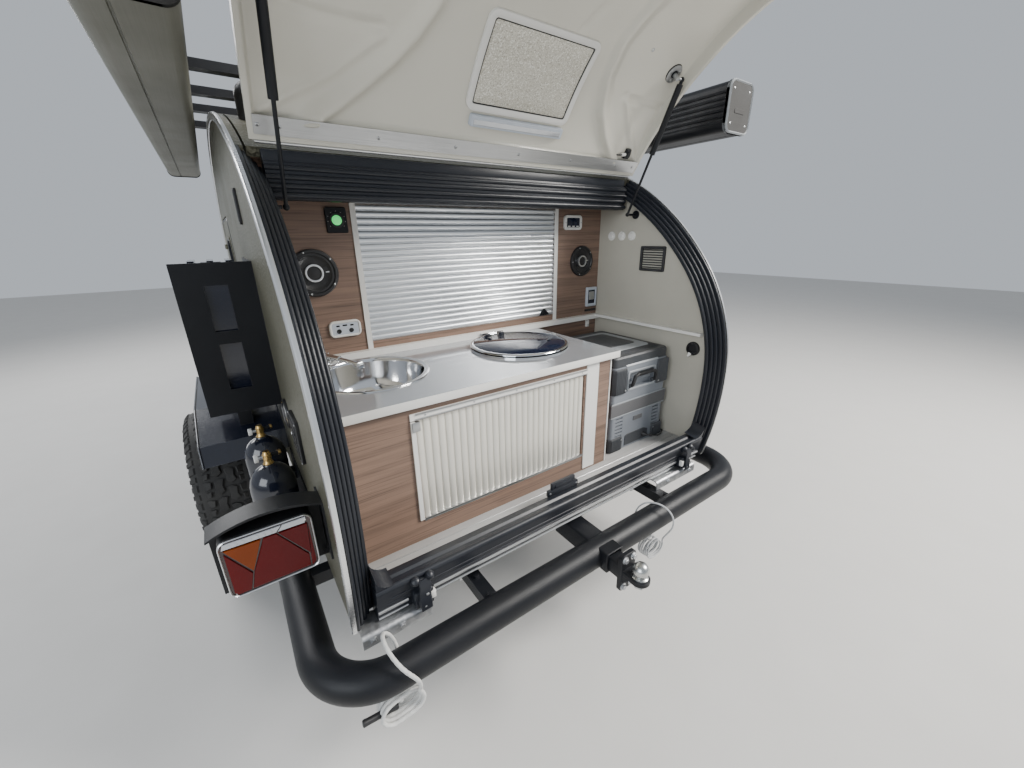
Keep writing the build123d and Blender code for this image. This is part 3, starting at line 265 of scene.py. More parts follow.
def rangeNode(tree, value, low, high, toLow, toHigh):
    node = tree.nodes.new("ShaderNodeMapRange")
    limits = {"From Min": low, "From Max": high, "To Min": toLow, "To Max": toHigh}
    for label, given in {"Value": value, **limits}.items():
        feed(tree, node.inputs[label], given)
    return node.outputs["Result"]


def objectNoise(tree, scale, detail=4.0, stretch=None, roughness=0.55):
    place = tree.nodes.new("ShaderNodeTexCoord").outputs["Object"]
    if stretch is not None:
        mapping = tree.nodes.new("ShaderNodeMapping")
        mapping.inputs["Scale"].default_value = stretch
        tree.links.new(place, mapping.inputs["Vector"])
        place = mapping.outputs["Vector"]
    node = tree.nodes.new("ShaderNodeTexNoise")
    tree.links.new(place, node.inputs["Vector"])
    feed(tree, node.inputs["Scale"], scale)
    node.inputs["Detail"].default_value = detail
    node.inputs["Roughness"].default_value = roughness
    return node.outputs["Fac"]


def makeBlotchGroup():
    group, start, end = newGroup("surfaceBlotch", [("Scale", 3.0), ("Contrast", 0.25)])
    value = objectNoise(group, start.outputs["Scale"], 5.0)
    low = mathNode(group, "SUBTRACT", 0.5, start.outputs["Contrast"])
    high = mathNode(group, "ADD", 0.5, start.outputs["Contrast"])
    group.links.new(rangeNode(group, value, low, high, 0.0, 1.0), end.inputs["Mask"])
    return group


def makeWearGroup():
    group, start, end = newGroup("edgeWear", [("Radius", 0.003), ("Amount", 0.5)])
    bevel = group.nodes.new("ShaderNodeBevel")
    bevel.samples = 4
    group.links.new(start.outputs["Radius"], bevel.inputs["Radius"])
    surface = group.nodes.new("ShaderNodeNewGeometry")
    dot = group.nodes.new("ShaderNodeVectorMath")
    dot.operation = "DOT_PRODUCT"
    group.links.new(bevel.outputs["Normal"], dot.inputs[0])
    group.links.new(surface.outputs["Normal"], dot.inputs[1])
    edge = rangeNode(group, dot.outputs["Value"], 0.99, 0.86, 0.0, 1.0)
    patchy = rangeNode(group, objectNoise(group, 34.0, 6.0), 0.42, 0.62, 0.0, 1.0)
    worn = mathNode(group, "MULTIPLY", mathNode(group, "MULTIPLY", edge, patchy), start.outputs["Amount"])
    group.links.new(worn, end.inputs["Mask"])
    return group


def makeDustGroup():
    group, start, end = newGroup("settledDust", [("Amount", 0.3), ("Scale", 9.0)])
    surface = group.nodes.new("ShaderNodeNewGeometry")
    parts = group.nodes.new("ShaderNodeSeparateXYZ")
    group.links.new(surface.outputs["Normal"], parts.inputs[0])
    level = rangeNode(group, parts.outputs["Z"], -0.2, 1.0, 0.15, 1.0)
    patchy = rangeNode(group, objectNoise(group, start.outputs["Scale"], 7.0, None, 0.7), 0.4, 0.72, 0.1, 1.0)
    mask = mathNode(group, "MULTIPLY", mathNode(group, "MULTIPLY", level, patchy), start.outputs["Amount"])
    group.links.new(mask, end.inputs["Mask"])
    return group


blotchGroup = makeBlotchGroup()
wearGroup = makeWearGroup()
dustGroup = makeDustGroup()


def placeGroup(tree, group, values, output="Mask"):
    node = tree.nodes.new("ShaderNodeGroup")
    node.node_tree = group
    for label, value in values.items():
        node.inputs[label].default_value = value
    return node.outputs[output]


def mixColour(tree, mask, a, b):
    node = tree.nodes.new("ShaderNodeMix")
    node.data_type = "RGBA"
    # the colour sockets share their names with the number and vector ones, so they go by place
    colourA, colourB, colourResult = 6, 7, 2
    tree.links.new(mask, node.inputs["Factor"])
    feed(tree, node.inputs[colourA], a)
    feed(tree, node.inputs[colourB], b)
    return node.outputs[colourResult]


# Bump sources, chosen by a finish's "texture": each gives a height from object coordinates
def makeTextureGroup(name, stretch, detail):
    group, start, end = newGroup(name, [("Scale", 200.0)], "Height")
    group.links.new(objectNoise(group, start.outputs["Scale"], detail, stretch), end.inputs["Height"])
    return group


def makeCellGroup(name, feature):
    group, start, end = newGroup(name, [("Scale", 200.0)], "Height")
    cells = group.nodes.new("ShaderNodeTexVoronoi")
    cells.feature = feature
    group.links.new(group.nodes.new("ShaderNodeTexCoord").outputs["Object"], cells.inputs["Vector"])
    group.links.new(start.outputs["Scale"], cells.inputs["Scale"])
    group.links.new(cells.outputs["Distance"], end.inputs["Height"])
    return group


textureGroups = {
    "grain": makeTextureGroup("fineGrain", None, 3.0),
    "brushedX": makeTextureGroup("brushedAlongX", (0.02, 1.0, 1.0), 2.0),
    "brushedY": makeTextureGroup("brushedAlongY", (1.0, 0.02, 1.0), 2.0),
    "brushedZ": makeTextureGroup("brushedAlongZ", (1.0, 1.0, 0.02), 2.0),
    "cells": makeCellGroup("spangleCells", "F1"),
    "hammered": makeCellGroup("hammeredCells", "SMOOTH_F1"),
}


plain = {
    "colour": (0.5, 0.5, 0.5), "second": None, "blotch": 4.0, "contrast": 0.22,
    "rough": 0.45, "roughest": 0.6, "metal": 0.0, "coat": 0.0,
    "texture": "grain", "fine": 220.0, "height": 0.0004,
    "worn": None, "wear": 0.0, "wearRadius": 0.003, "dust": 0.12, "dustColour": (0.34, 0.31, 0.27),
}


def makeLook(name, **values):
    look = {**plain, **values}
    material = bpy.data.materials.new(name)
    material.use_nodes = True
    tree = material.node_tree
    shader = tree.nodes["Principled BSDF"]
    blotch = placeGroup(tree, blotchGroup, {"Scale": look["blotch"], "Contrast": look["contrast"]})
    second = look["second"] or tuple(c * 0.86 for c in look["colour"])
    colour = mixColour(tree, blotch, look["colour"], second)
    if look.get("pattern"):
        colour = look["pattern"](tree, colour)
    if look["wear"]:
        mask = placeGroup(tree, wearGroup, {"Radius": look["wearRadius"], "Amount": look["wear"]})
        colour = mixColour(tree, mask, colour, look["worn"])
    if look["dust"]:
        mask = placeGroup(tree, dustGroup, {"Amount": look["dust"], "Scale": 9.0})
        colour = mixColour(tree, mask, colour, look["dustColour"])
    tree.links.new(colour, shader.inputs["Base Color"])
    fine = placeGroup(tree, textureGroups[look["texture"]], {"Scale": look["fine"]}, "Height")
    mixed = mathNode(tree, "ADD", mathNode(tree, "MULTIPLY", blotch, 0.5),
                     mathNode(tree, "MULTIPLY", fine, 0.5))
    tree.links.new(rangeNode(tree, mixed, 0.2, 0.8, look["rough"], look["roughest"]),
                   shader.inputs["Roughness"])
    bump = tree.nodes.new("ShaderNodeBump")
    bump.inputs["Strength"].default_value = 1.0
    bump.inputs["Distance"].default_value = look["height"]
    tree.links.new(fine, bump.inputs["Height"])
    tree.links.new(bump.outputs["Normal"], shader.inputs["Normal"])
    shader.inputs["Metallic"].default_value = look["metal"]
    shader.inputs["Coat Weight"].default_value = look["coat"]
    shader.inputs["Coat Roughness"].default_value = 0.08
    for label, value in look.get("shader", {}).items():
        shader.inputs[label].default_value = value
    return material


def veneerPattern(scale, dark):
    # fine dark pores and broader streaks that run across the panel
    def pattern(tree, colour):
        streaks = rangeNode(tree, objectNoise(tree, scale, 8.0, (0.16, 1.0, 7.0), 0.7), 0.42, 0.62, 0.0, 0.75)
        pores = rangeNode(tree, objectNoise(tree, scale * 9, 3.0, (0.05, 1.0, 3.0)), 0.55, 0.68, 0.0, 0.8)
        return mixColour(tree, pores, mixColour(tree, streaks, colour, dark), tuple(c * 0.62 for c in dark))
    return pattern


def specklePattern(scale, dark, pale):
    def pattern(tree, colour):
        darker = rangeNode(tree, objectNoise(tree, scale, 2.0), 0.54, 0.6, 0.0, 0.85)
        paler = rangeNode(tree, objectNoise(tree, scale * 0.8, 2.0, (1.0, 1.0, 1.1)), 0.56, 0.62, 0.0, 0.9)
        return mixColour(tree, paler, mixColour(tree, darker, colour, dark), pale)
    return pattern


print("stage: helpers and node groups")

looks = {
    "gelcoat": makeLook("creamGelcoat", colour=(0.64, 0.62, 0.545), second=(0.6, 0.58, 0.505), rough=0.3,
                        roughest=0.42, coat=0.2, fine=160.0, height=0.0002, dust=0.1, blotch=2.2),
    "stucco": makeLook("hammeredAluminium", colour=(0.128, 0.123, 0.088), second=(0.108, 0.104, 0.074),
                       metal=0.45, rough=0.38, roughest=0.48, texture="hammered", fine=150.0,
                       height=0.003, dust=0.14),
    "trim": makeLook("edgeAluminium", colour=(0.8, 0.81, 0.82), second=(0.68, 0.69, 0.7), metal=0.95,
                     rough=0.22, roughest=0.4, texture="brushedX", fine=420.0, height=0.0002,
                     worn=(0.8, 0.8, 0.8), wear=0.3, dust=0.08),
    # the rubber is black; the blue in its base colours is a painted bluish sheen
    "rubber": makeLook("sealRubber", colour=(0.008, 0.01, 0.015), second=(0.012, 0.014, 0.02), rough=0.3,
                       roughest=0.48, fine=300.0, height=0.0003, dust=0.06,
                       dustColour=(0.12, 0.13, 0.15), shader={"Specular IOR Level": 0.42}),
    "veneer": makeLook("warmVeneer", colour=(0.25, 0.16, 0.117), second=(0.208, 0.133, 0.098),
                       rough=0.42, roughest=0.58, pattern=veneerPattern(8.0, (0.142, 0.092, 0.068)),
                       fine=260.0, height=0.0003, dust=0.05),
    "slat": makeLook("satinSlat", colour=(0.83, 0.85, 0.87), second=(0.7, 0.73, 0.77), metal=0.85,
                     rough=0.24, roughest=0.42, texture="brushedX", fine=380.0, height=0.0002, dust=0.08,
                     blotch=1.6),
    "reed": makeLook("creamReed", colour=(0.78, 0.75, 0.67), second=(0.7, 0.68, 0.62), metal=0.35,
                     rough=0.26, roughest=0.4, texture="brushedZ", fine=380.0, height=0.0002, dust=0.06),
    "laminate": makeLook("counterLaminate", colour=(0.4, 0.42, 0.45), second=(0.36, 0.38, 0.41),
                         rough=0.07, roughest=0.12, metal=0.35, coat=0.6, fine=300.0, height=0.0001,
                         dust=0.05),
    "white": makeLook("whitePlastic", colour=(0.76, 0.75, 0.72), second=(0.7, 0.69, 0.66), rough=0.32,
                      roughest=0.45, dust=0.08),
    "liner": makeLook("wallLiner", colour=(0.47, 0.45, 0.385), second=(0.42, 0.4, 0.345), rough=0.45,
                      roughest=0.6, fine=420.0, height=0.0006, dust=0.08),
    "chrome": makeLook("polishedSteel", colour=(0.78, 0.79, 0.8), second=(0.7, 0.71, 0.73), metal=1.0,
                       rough=0.05, roughest=0.14, fine=140.0, height=0.00005, dust=0.03),
    "steel": makeLook("satinSteel", colour=(0.52, 0.53, 0.54), second=(0.44, 0.45, 0.46), metal=1.0,
                      rough=0.28, roughest=0.44, texture="brushedX", dust=0.1),
    "galvanised": makeLook("galvanisedSteel", colour=(0.56, 0.57, 0.58), second=(0.42, 0.43, 0.45),
                           blotch=46.0, contrast=0.08, metal=0.9, rough=0.34, roughest=0.55,
                           texture="cells", fine=90.0, height=0.0004, dust=0.22, worn=(0.7, 0.7, 0.7),
                           wear=0.3),
    "smoked": makeLook("smokedGlass", colour=(0.006, 0.01, 0.026), second=(0.008, 0.013, 0.032),
                       rough=0.05, roughest=0.1, height=0.00003, dust=0.04),
    "coolerShell": makeLook("coolerShell", colour=(0.215, 0.232, 0.258), second=(0.185, 0.2, 0.225),
                            rough=0.42, roughest=0.55, fine=520.0, height=0.0007, dust=0.12,
                            worn=(0.45, 0.46, 0.48), wear=0.3),
    "coolerDark": makeLook("coolerDarkTrim", colour=(0.034, 0.038, 0.045), second=(0.045, 0.05, 0.058),
                           rough=0.4, roughest=0.56, fine=480.0, height=0.0007, dust=0.14),
    "coolerPale": makeLook("coolerPaleTrim", colour=(0.33, 0.35, 0.37), second=(0.29, 0.31, 0.33),
                           rough=0.4, roughest=0.52, fine=480.0, height=0.0005, dust=0.1),
    "blackPlastic": makeLook("blackPlastic", colour=(0.01, 0.01, 0.0115), second=(0.016, 0.016, 0.0175),
                             rough=0.34, roughest=0.48, dust=0.06, dustColour=(0.12, 0.12, 0.12)),
    # the powder coat is black; the blue in its base colours is a painted bluish sheen
    "powder": makeLook("powderBlack", colour=(0.004, 0.0048, 0.0068), second=(0.007, 0.008, 0.011),
                       rough=0.34, roughest=0.48, fine=620.0, height=0.0005, dust=0.05,
                       dustColour=(0.07, 0.07, 0.07), worn=(0.1, 0.1, 0.11), wear=0.4,
                       shader={"Specular IOR Level": 0.3}),
    "glossBlack": makeLook("glossBlackPaint", colour=(0.006, 0.008, 0.017), second=(0.009, 0.012, 0.024),
                           rough=0.1, roughest=0.22, coat=0.5, fine=90.0, height=0.0002, dust=0.08,
                           dustColour=(0.14, 0.14, 0.14), worn=(0.2, 0.2, 0.22), wear=0.5),
    "tyre": makeLook("tyreRubber", colour=(0.013, 0.013, 0.014), second=(0.022, 0.0215, 0.021),
                     rough=0.6, roughest=0.82, fine=260.0, height=0.0008, dust=0.3,
                     dustColour=(0.1, 0.092, 0.08)),
    "rimPaint": makeLook("rimPaint", colour=(0.03, 0.031, 0.034), second=(0.05, 0.05, 0.053), rough=0.25,
                         roughest=0.42, coat=0.3, dust=0.28, worn=(0.4, 0.4, 0.41), wear=0.5),
    "redLens": makeLook("redLens", colour=(0.115, 0.001, 0.002), second=(0.08, 0.001, 0.002), rough=0.14,
                        roughest=0.24, coat=0.0, dust=0.01, shader={"Specular IOR Level": 0.22}),
    "amberLens": makeLook("amberLens", colour=(0.22, 0.04, 0.002), second=(0.17, 0.03, 0.002),
                          rough=0.14, roughest=0.24, coat=0.0, dust=0.01,
                          shader={"Specular IOR Level": 0.22}),
    "clearLens": makeLook("clearLens", colour=(0.52, 0.54, 0.57), second=(0.42, 0.44, 0.47), rough=0.08,
                          roughest=0.2, coat=0.8, metal=0.4),
    "brass": makeLook("wornBrass", colour=(0.62, 0.42, 0.16), second=(0.45, 0.3, 0.11), metal=1.0,
                      rough=0.24, roughest=0.45, dust=0.12),
    "ropeWhite": makeLook("whiteRope", colour=(0.66, 0.66, 0.64), second=(0.5, 0.5, 0.49), blotch=60.0,
                          rough=0.7, roughest=0.9, fine=900.0, height=0.0007, dust=0.1),
    "ropeGrey": makeLook("greyRope", colour=(0.52, 0.53, 0.54), second=(0.36, 0.37, 0.38), blotch=80.0,
                         rough=0.55, roughest=0.8, fine=900.0, height=0.0007, dust=0.1),
    "speckle": makeLook("speckledPanel", colour=(0.6, 0.575, 0.49), second=(0.56, 0.535, 0.455),
                        rough=0.3, roughest=0.45, coat=0.2, dust=0.02,
                        pattern=specklePattern(290.0, (0.33, 0.3, 0.24), (0.84, 0.83, 0.77)), fine=290.0,
                        height=0.0003),
    "bluePlastic": makeLook("greyBluePlastic", colour=(0.5, 0.54, 0.6), second=(0.44, 0.48, 0.54),
                            rough=0.3, roughest=0.42, dust=0.05),
    "floorVinyl": makeLook("greyVinyl", colour=(0.42, 0.42, 0.42), second=(0.34, 0.34, 0.34), rough=0.5,
                           roughest=0.66, dust=0.2),
    "awningGrey": makeLook("awningCase", colour=(0.15, 0.148, 0.118), second=(0.128, 0.127, 0.102),
                           metal=0.15, rough=0.4, roughest=0.55, texture="brushedY", fine=300.0,
                           height=0.0002, dust=0.2, worn=(0.5, 0.5, 0.5), wear=0.3),
    "mattress": makeLook("quiltedFabric", colour=(0.42, 0.42, 0.43), second=(0.36, 0.36, 0.37),
                         rough=0.8, roughest=0.95, texture="cells", fine=700.0, height=0.0009, dust=0.05),
    "window": makeLook("tintedAcrylic", colour=(0.02, 0.022, 0.024), second=(0.028, 0.03, 0.032),
                       rough=0.05, roughest=0.12, coat=0.8, height=0.00003, dust=0.1),
    "caster": makeLook("casterRubber", colour=(0.03, 0.03, 0.03), second=(0.05, 0.05, 0.05), rough=0.6,
                       roughest=0.8, dust=0.35),
    "ballSteel": makeLook("towBallSteel", colour=(0.62, 0.63, 0.62), second=(0.48, 0.49, 0.48),
                          metal=1.0, rough=0.16, roughest=0.34, fine=120.0, height=0.0001, dust=0.06),
    "darkLens": makeLook("darkLens", colour=(0.03, 0.003, 0.004), second=(0.02, 0.003, 0.003),
                         rough=0.14, roughest=0.26, coat=0.6, dust=0.06),
    "greyBand": makeLook("coolerBand", colour=(0.115, 0.115, 0.12), second=(0.095, 0.095, 0.1),
                         rough=0.42, roughest=0.55, fine=520.0, height=0.0006, dust=0.1),
}


def makeGlow(name, colour, strength):
    material = makeLook(name, colour=colour, rough=0.2, roughest=0.3, dust=0.0)
    shader = material.node_tree.nodes["Principled BSDF"]
    shader.inputs["Emission Color"].default_value = (*colour, 1.0)
    shader.inputs["Emission Strength"].default_value = strength
    return material


looks["greenGlow"] = makeGlow("greenLamp", (0.1, 0.75, 0.2), 0.8)
looks["orangeGlow"] = makeGlow("orangeDisplay", (0.95, 0.32, 0.05), 0.9)

# Frame nodes whose shape stays, each with its own finish
nodeLooks = {
    "side_walls": "stucco", "roof_skin": "stucco", "door_left": "stucco", "door_right": "stucco",
    "liners": "liner", "floor": "floorVinyl", "mattress": "mattress", "bulkhead": "veneer",
    "counter_front": "veneer", "upper_shutter": "slat", "front_shutter": "reed",
    "bulkhead_trim": "white", "counter_trim": "white", "counter_top": "laminate",
    "opening_profile": "rubber", "edge_trims": "trim", "lid_shell": "gelcoat", "lid_fittings": "steel",
    "lid_panel": "white", "strut_tube_left": "powder", "strut_tube_right": "powder",
    "strut_rod_left": "powder", "strut_rod_right": "powder", "strut_eyes": "powder",
    "door_window_left": "window", "door_window_right": "window", "tyre_left": "tyre",
    "tyre_right": "tyre", "rim_left": "rimPaint", "rim_right": "rimPaint", "axle_beam": "powder",
    "chassis_frame": "galvanised", "coupling_head": "powder", "jockey_clamp": "galvanised",
    "jockey_tube": "steel", "jockey_fork": "galvanised", "jockey_wheel": "caster", "bumper": "powder",
    "sill_brackets": "galvanised", "tow_hitch": "powder", "fenders": "glossBlack",
    "tail_lamps": "redLens", "side_brackets": "powder", "gas_bottles": "glossBlack",
    "fuel_can": "glossBlack", "roof_bars": "powder", "roof_dome": "blackPlastic",
    "awnings": "awningGrey", "side_inlets": "blackPlastic", "sink": "chrome", "hob": "chrome",
    "hob_lid": "smoked", "wall_fittings": "blackPlastic", "cooler_body": "coolerShell",
    "cooler_lid": "coolerDark", "latches": "rubber",
}
for node, look in nodeLooks.items():
    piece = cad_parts[node]
    for holder in piece.material_slots:
        holder.material = looks[look]
print("stage: materials")

# The body's side outline: arcs with radius and turn in degrees, from below the sill over the roof
bodyLine = {
    "start": (hingeY - 0.47, 0.472), "heading": 108.0,
    "rear": [(1.35, 20.0), (0.72, 36.0), (1.15, 26.0)],
    "roof": [(2.1, 26.0), (2.05, 32.0), (0.6, 64.0), (1.55, 21.0)],
}


def walkArcs(arcs, start, heading, inset=0.0, step=2.0):
    # points with their headings along a chain of arcs, moved inward by inset
    y, z = start
    found = []
    for radius, turn in arcs:
        a = math.radians(heading - 90)
        cy, cz = y + radius * math.cos(a), z + radius * math.sin(a)
        count = max(2, round(turn / step))
        for k in range(count + 1):
            if k == 0 and found:
                continue
            spoke = math.radians(heading + 90 - turn * k / count)
            found.append((cy + (radius - inset) * math.cos(spoke),
                          cz + (radius - inset) * math.sin(spoke), heading - turn * k / count))
        heading -= turn
        spoke = math.radians(heading + 90)
        y, z = cy + radius * math.cos(spoke), cz + radius * math.sin(spoke)
    return found


def bodyPoints(inset=0.0, part="rear", lowest=0.54, step=2.0):
    # the body line as (y, z, heading), cut off level at its lowest height
    arcs = bodyLine["rear"] + (bodyLine["roof"] if part == "all" else [])
    line = walkArcs(arcs, bodyLine["start"], bodyLine["heading"], inset, step)
    kept = []
    for a, b in zip(line, line[1:]):
        for low, high in ((a, b), (b, a)):
            if low[1] < lowest < high[1]:
                t = (lowest - low[1]) / (high[1] - low[1])
                kept.append((low[0] + t * (high[0] - low[0]), lowest, low[2]))
        if b[1] >= lowest:
            kept.append(b)
    if line[0][1] >= lowest:
        kept.insert(0, line[0])
    return kept


# Rear lid, drawn shut from its hinge and carried round to stand open
lidShape = {
    "open": 85.0, "half": 0.712, "skin": 0.007, "sideFlange": 0.012, "rootFlange": 0.051,
    "tipFlange": 0.0195, "seat": 0.006, "arcs": [(1.4, 11.5), (0.77, 36.0), (0.97187, 30.804)],
    "lowTurn": 8.5, "crown": 0.05,
}
seatRadius = bodyLine["rear"][2][0]


def lidFrame():
    # measured from the hinge: the crown's arcs as (centre, radius, heading, turn), and the centre of the
    # seat's last arc
    start = (bodyLine["start"][0] - hingeY, bodyLine["start"][1] - hingeZ)
    low, middle = bodyLine["rear"][:2]
    y, z, heading = walkArcs([(low[0], lidShape["lowTurn"])], start, bodyLine["heading"])[-1]
    up = math.radians(heading + 90)
    y, z = y + lidShape["crown"] * math.cos(up), z + lidShape["crown"] * math.sin(up)
    found = []
    for radius, turn in lidShape["arcs"]:
        a = math.radians(heading - 90)
        centre = (y + radius * math.cos(a), z + radius * math.sin(a))
        found.append((centre, radius, heading, turn))
        heading -= turn
        spoke = math.radians(heading + 90)
        y, z = centre[0] + radius * math.cos(spoke), centre[1] + radius * math.sin(spoke)
    y, z, heading = walkArcs([low, middle], start, bodyLine["heading"])[-1]
    a = math.radians(heading - 90)
    return found, (y + seatRadius * math.cos(a), z + seatRadius * math.sin(a))


lidArcs, seatCentre = lidFrame()
lidLength = sum(radius * math.radians(turn) for centre, radius, heading, turn in lidArcs)
lidTurn = math.radians(lidShape["open"])


def lidFlat(s, inset):
    # s runs from the hinge to the tip along the crown line, inset goes into the lid
    along = lidLength - s
    for centre, radius, heading, turn in lidArcs:
        length = radius * math.radians(turn)
        if along <= length + 1e-9 or centre is lidArcs[-1][0]:
            break
        along -= length
    spoke = math.radians(heading + 90) - along / radius
    radius -= inset
    return centre[0] + radius * math.cos(spoke), centre[1] + radius * math.sin(spoke), spoke


def lidPoint(x, s, inset):
    u, v, spoke = lidFlat(s, inset)
    return Vector((x, hingeY + u * math.cos(lidTurn) + v * math.sin(lidTurn),
                   hingeZ - u * math.sin(lidTurn) + v * math.cos(lidTurn)))


def seatDepth(s):
    u, v, spoke = lidFlat(s, 0.0)
    last = lidArcs[-1]
    if s > last[1] * math.radians(last[3]):
        return lidShape["crown"] - lidShape["seat"]
    nu, nv = -math.cos(spoke), -math.sin(spoke)
    du, dv = u - seatCentre[0], v - seatCentre[1]
    half = du * nu + dv * nv
    reach = seatRadius + lidShape["seat"]
    return max(0.002, -half - math.sqrt(max(0.0, half * half - du * du - dv * dv + reach * reach)))


# Pressed swages of the lid's inner skin: a line of (x, distance from the hinge), the height, the half width,
# and the side with the steeper slope
lidSwages = [
    ([(-0.6, 0.042), (-0.365, 0.051), (-0.156, 0.05), (0.165, 0.044), (0.6, 0.036)], 0.012, 0.022, "round"),
    ([(-0.565, 0.046), (-0.5, 0.095), (-0.43, 0.158), (-0.367, 0.221), (-0.315, 0.288), (-0.276, 0.363),
      (-0.262, 0.44), (-0.275, 0.56), (-0.31, 0.7), (-0.36, 0.85), (-0.4, 1.05), (-0.41, 1.26)], 0.014,
     0.034, "left"),
    ([(0.56, 0.046), (0.462, 0.13), (0.39, 0.212), (0.342, 0.312), (0.325, 0.415), (0.338, 0.497),
      (0.37, 0.62), (0.42, 0.76), (0.44, 0.95), (0.45, 1.26)], 0.014, 0.034, "right"),
    ([(-0.69, 0.06), (-0.516, 0.168), (-0.4, 0.27)], 0.0055, 0.018, "round"),
    ([(0.695, 0.053), (0.584, 0.167), (0.483, 0.269)], 0.0055, 0.018, "round"),
    ([(-0.64, 0.29), (-0.546, 0.281), (-0.471, 0.281), (-0.403, 0.288)], -0.0065, 0.016, "round"),
    ([(0.47, 0.272), (0.57, 0.263), (0.69, 0.266)], -0.0065, 0.016, "round"),
    ([(0.275, 0.64), (0.211, 0.499), (0.185, 0.457), (0.167, 0.414)], -0.009, 0.018, "round"),
]


def swageHeight(x, s):
    total = 0.0
    for line, height, half, kind in lidSwages:
        best, side = math.inf, 0.0
        margin = half * 1.6
        for (ax, ay), (bx, by) in zip(line, line[1:]):
            if x < min(ax, bx) - margin or x > max(ax, bx) + margin:
                continue
            if s < min(ay, by) - margin or s > max(ay, by) + margin:
                continue
            dx, dy = bx - ax, by - ay
            t = min(1.0, max(0.0, ((x - ax) * dx + (s - ay) * dy) / (dx * dx + dy * dy)))
            far = math.hypot(x - ax - t * dx, s - ay - t * dy)
            if far < best:
                best, side = far, (x - ax) * dy - (s - ay) * dx
        if kind == "round":
            reach = half
        else:
            inner = (side > 0) == (kind == "left")
            reach = half * (0.5 if inner else 1.5)
        if best < reach:
            total += height * (0.5 + 0.5 * math.cos(math.pi * best / reach))
    return total


def smoothStep(value):
    value = min(1.0, max(0.0, value))
    return value * value * (3 - 2 * value)


def spread(*stops):
    # values from first to last stop, with the given number of steps between each pair
    found = [stops[0]]
    for k in range(1, len(stops) - 1, 2):
        count, end = stops[k], stops[k + 1]
        first = found[-1]
        found += [first + (end - first) * j / count for j in range(1, count + 1)]
    return found


def buildLidShell():
    # each ring goes across the inner skin and back over the crown
    wall, corner, thinnest = 0.011, 0.012, 0.0015
    half, side = lidShape["half"], lidShape["half"] - lidShape["sideFlange"]
    root, tip = lidShape["rootFlange"] - 0.012, lidLength - lidShape["tipFlange"]
    xs = spread(-half, 2, -half + 0.003, 2, -side, 8, -side + wall, 150, side - wall, 8, side, 2,
                half - 0.003, 2, half)
    ss = spread(0.0, 3, root, 8, root + wall, 26, 0.11, 60, 0.62, 34, tip - wall, 8, tip, 2,
                lidLength - 0.003, 1, lidLength)
    rows = []
    for s in ss:
        depth = seatDepth(s)
        within = smoothStep((s - root) / wall) * smoothStep((tip - s) / wall)
        inner, outer = [], []
        for x in xs:
            share = smoothStep((side - abs(x)) / wall) * within
            inset = depth + (lidShape["skin"] - depth) * share
            if share > 0.3:
                inset += swageHeight(x, s) * share
            inner.append(lidPoint(x, s, max(inset, thinnest)))
            edge = min(corner, max(0.0, corner - (half - abs(x)), corner - (lidLength - s)))
            drop = corner - math.sqrt(corner ** 2 - edge ** 2)
            outer.append(lidPoint(x, s, min(drop, 0.9 * depth)))
        rows.append(inner + outer[::-1])
    bm = bmesh.new()
    addRings(bm, rows, strips=True)
    return finishPiece(bm, "lidShell", ["gelcoat"], "lid", ["lid_shell"], angle=50)


def lidBand(bm, spanX, spanS, insets, radius, slot=0, rim=None):
    # a rounded plate that follows the lid's inner skin, or its rim alone where rim gives the width
    middleX, middleS = sum(spanX) / 2, sum(spanS) / 2

    def layer(grow, inset, share=1.0):
        outline = roundedRect(spanX[1] - spanX[0] - 2 * grow, spanS[1] - spanS[0] - 2 * grow,
                              max(0.002, radius - grow), 6, (8, 8))
        return [lidPoint(middleX + u * share, middleS + v * share, inset) for u, v in outline]

    low, high = insets
    soft = min(0.002, (high - low) / 3)
    slight = soft * 0.3
    rows = [layer(0.0, low), layer(0.0, high - soft), layer(slight, high - slight), layer(soft, high)]
    if rim:
        rows += [layer(rim - soft, high), layer(rim - slight, high - slight), layer(rim, high - soft),
                 layer(rim, low)]
    else:
        rows += [layer(soft, high, 0.66), layer(soft, high, 0.33), [lidPoint(middleX, middleS, high)]]
    addRings(bm, rows, slot, bool(rim))


lidPanel = {"x": (-0.14, 0.258), "s": (0.1426, 0.397), "frame": 0.019, "foot": 0.0068,
            "ledgeX": (-0.116, 0.252), "ledgeS": (0.1, 0.134)}


def buildLidPanel():
    bm = bmesh.new()
    foot, rim = lidPanel["foot"], lidPanel["frame"]

    def within(gap):
        return [(low + gap, high - gap) for low, high in (lidPanel["x"], lidPanel["s"])]

    lidBand(bm, *within(0.0), (foot, 0.016), 0.026, 0, rim)
    lidBand(bm, *within(rim - 0.0004), (foot, 0.0145), 0.01, 1, 0.004)
    lidBand(bm, *within(rim + 0.003), (foot, 0.0128), 0.007, 2)
    (x0, x1), (s0, s1) = lidPanel["ledgeX"], lidPanel["ledgeS"]
    lidBand(bm, (x0, x1), (s0, s1), (foot, 0.0205), 0.006, 3)
    lidBand(bm, (x0 + 0.01, x1 - 0.01), (s0 + 0.006, s1 - 0.012), (0.019, 0.0212), 0.003, 4)
    finishes = ["white", "blackPlastic", "speckle", "bluePlastic", "clearLens"]
    return finishPiece(bm, "lidPanel", finishes, "lid", ["lid_panel"])


buildLidShell()
buildLidPanel()
print("stage: lid")

# Opening profile: stepped rubber ribs down both sides, the sill with its swages, and the top seal
profile = {
    "outer": 0.745, "ribs": 5, "ribWidth": 0.011, "step": 0.012, "back": 0.062, "inner": 0.69,
    "sillTop": 0.65, "bottom": 0.54, "corner": 0.045,
}


def sweepBody(bm, section, side, part="rear"):
    # section is a closed list of (x, inset) drawn for the right side and carried along the body line
    rows = [[(side * x, y, z) for y, z, heading in bodyPoints(inset, part, profile["bottom"])]
            for x, inset in section]
    addRings(bm, list(zip(*rows)))


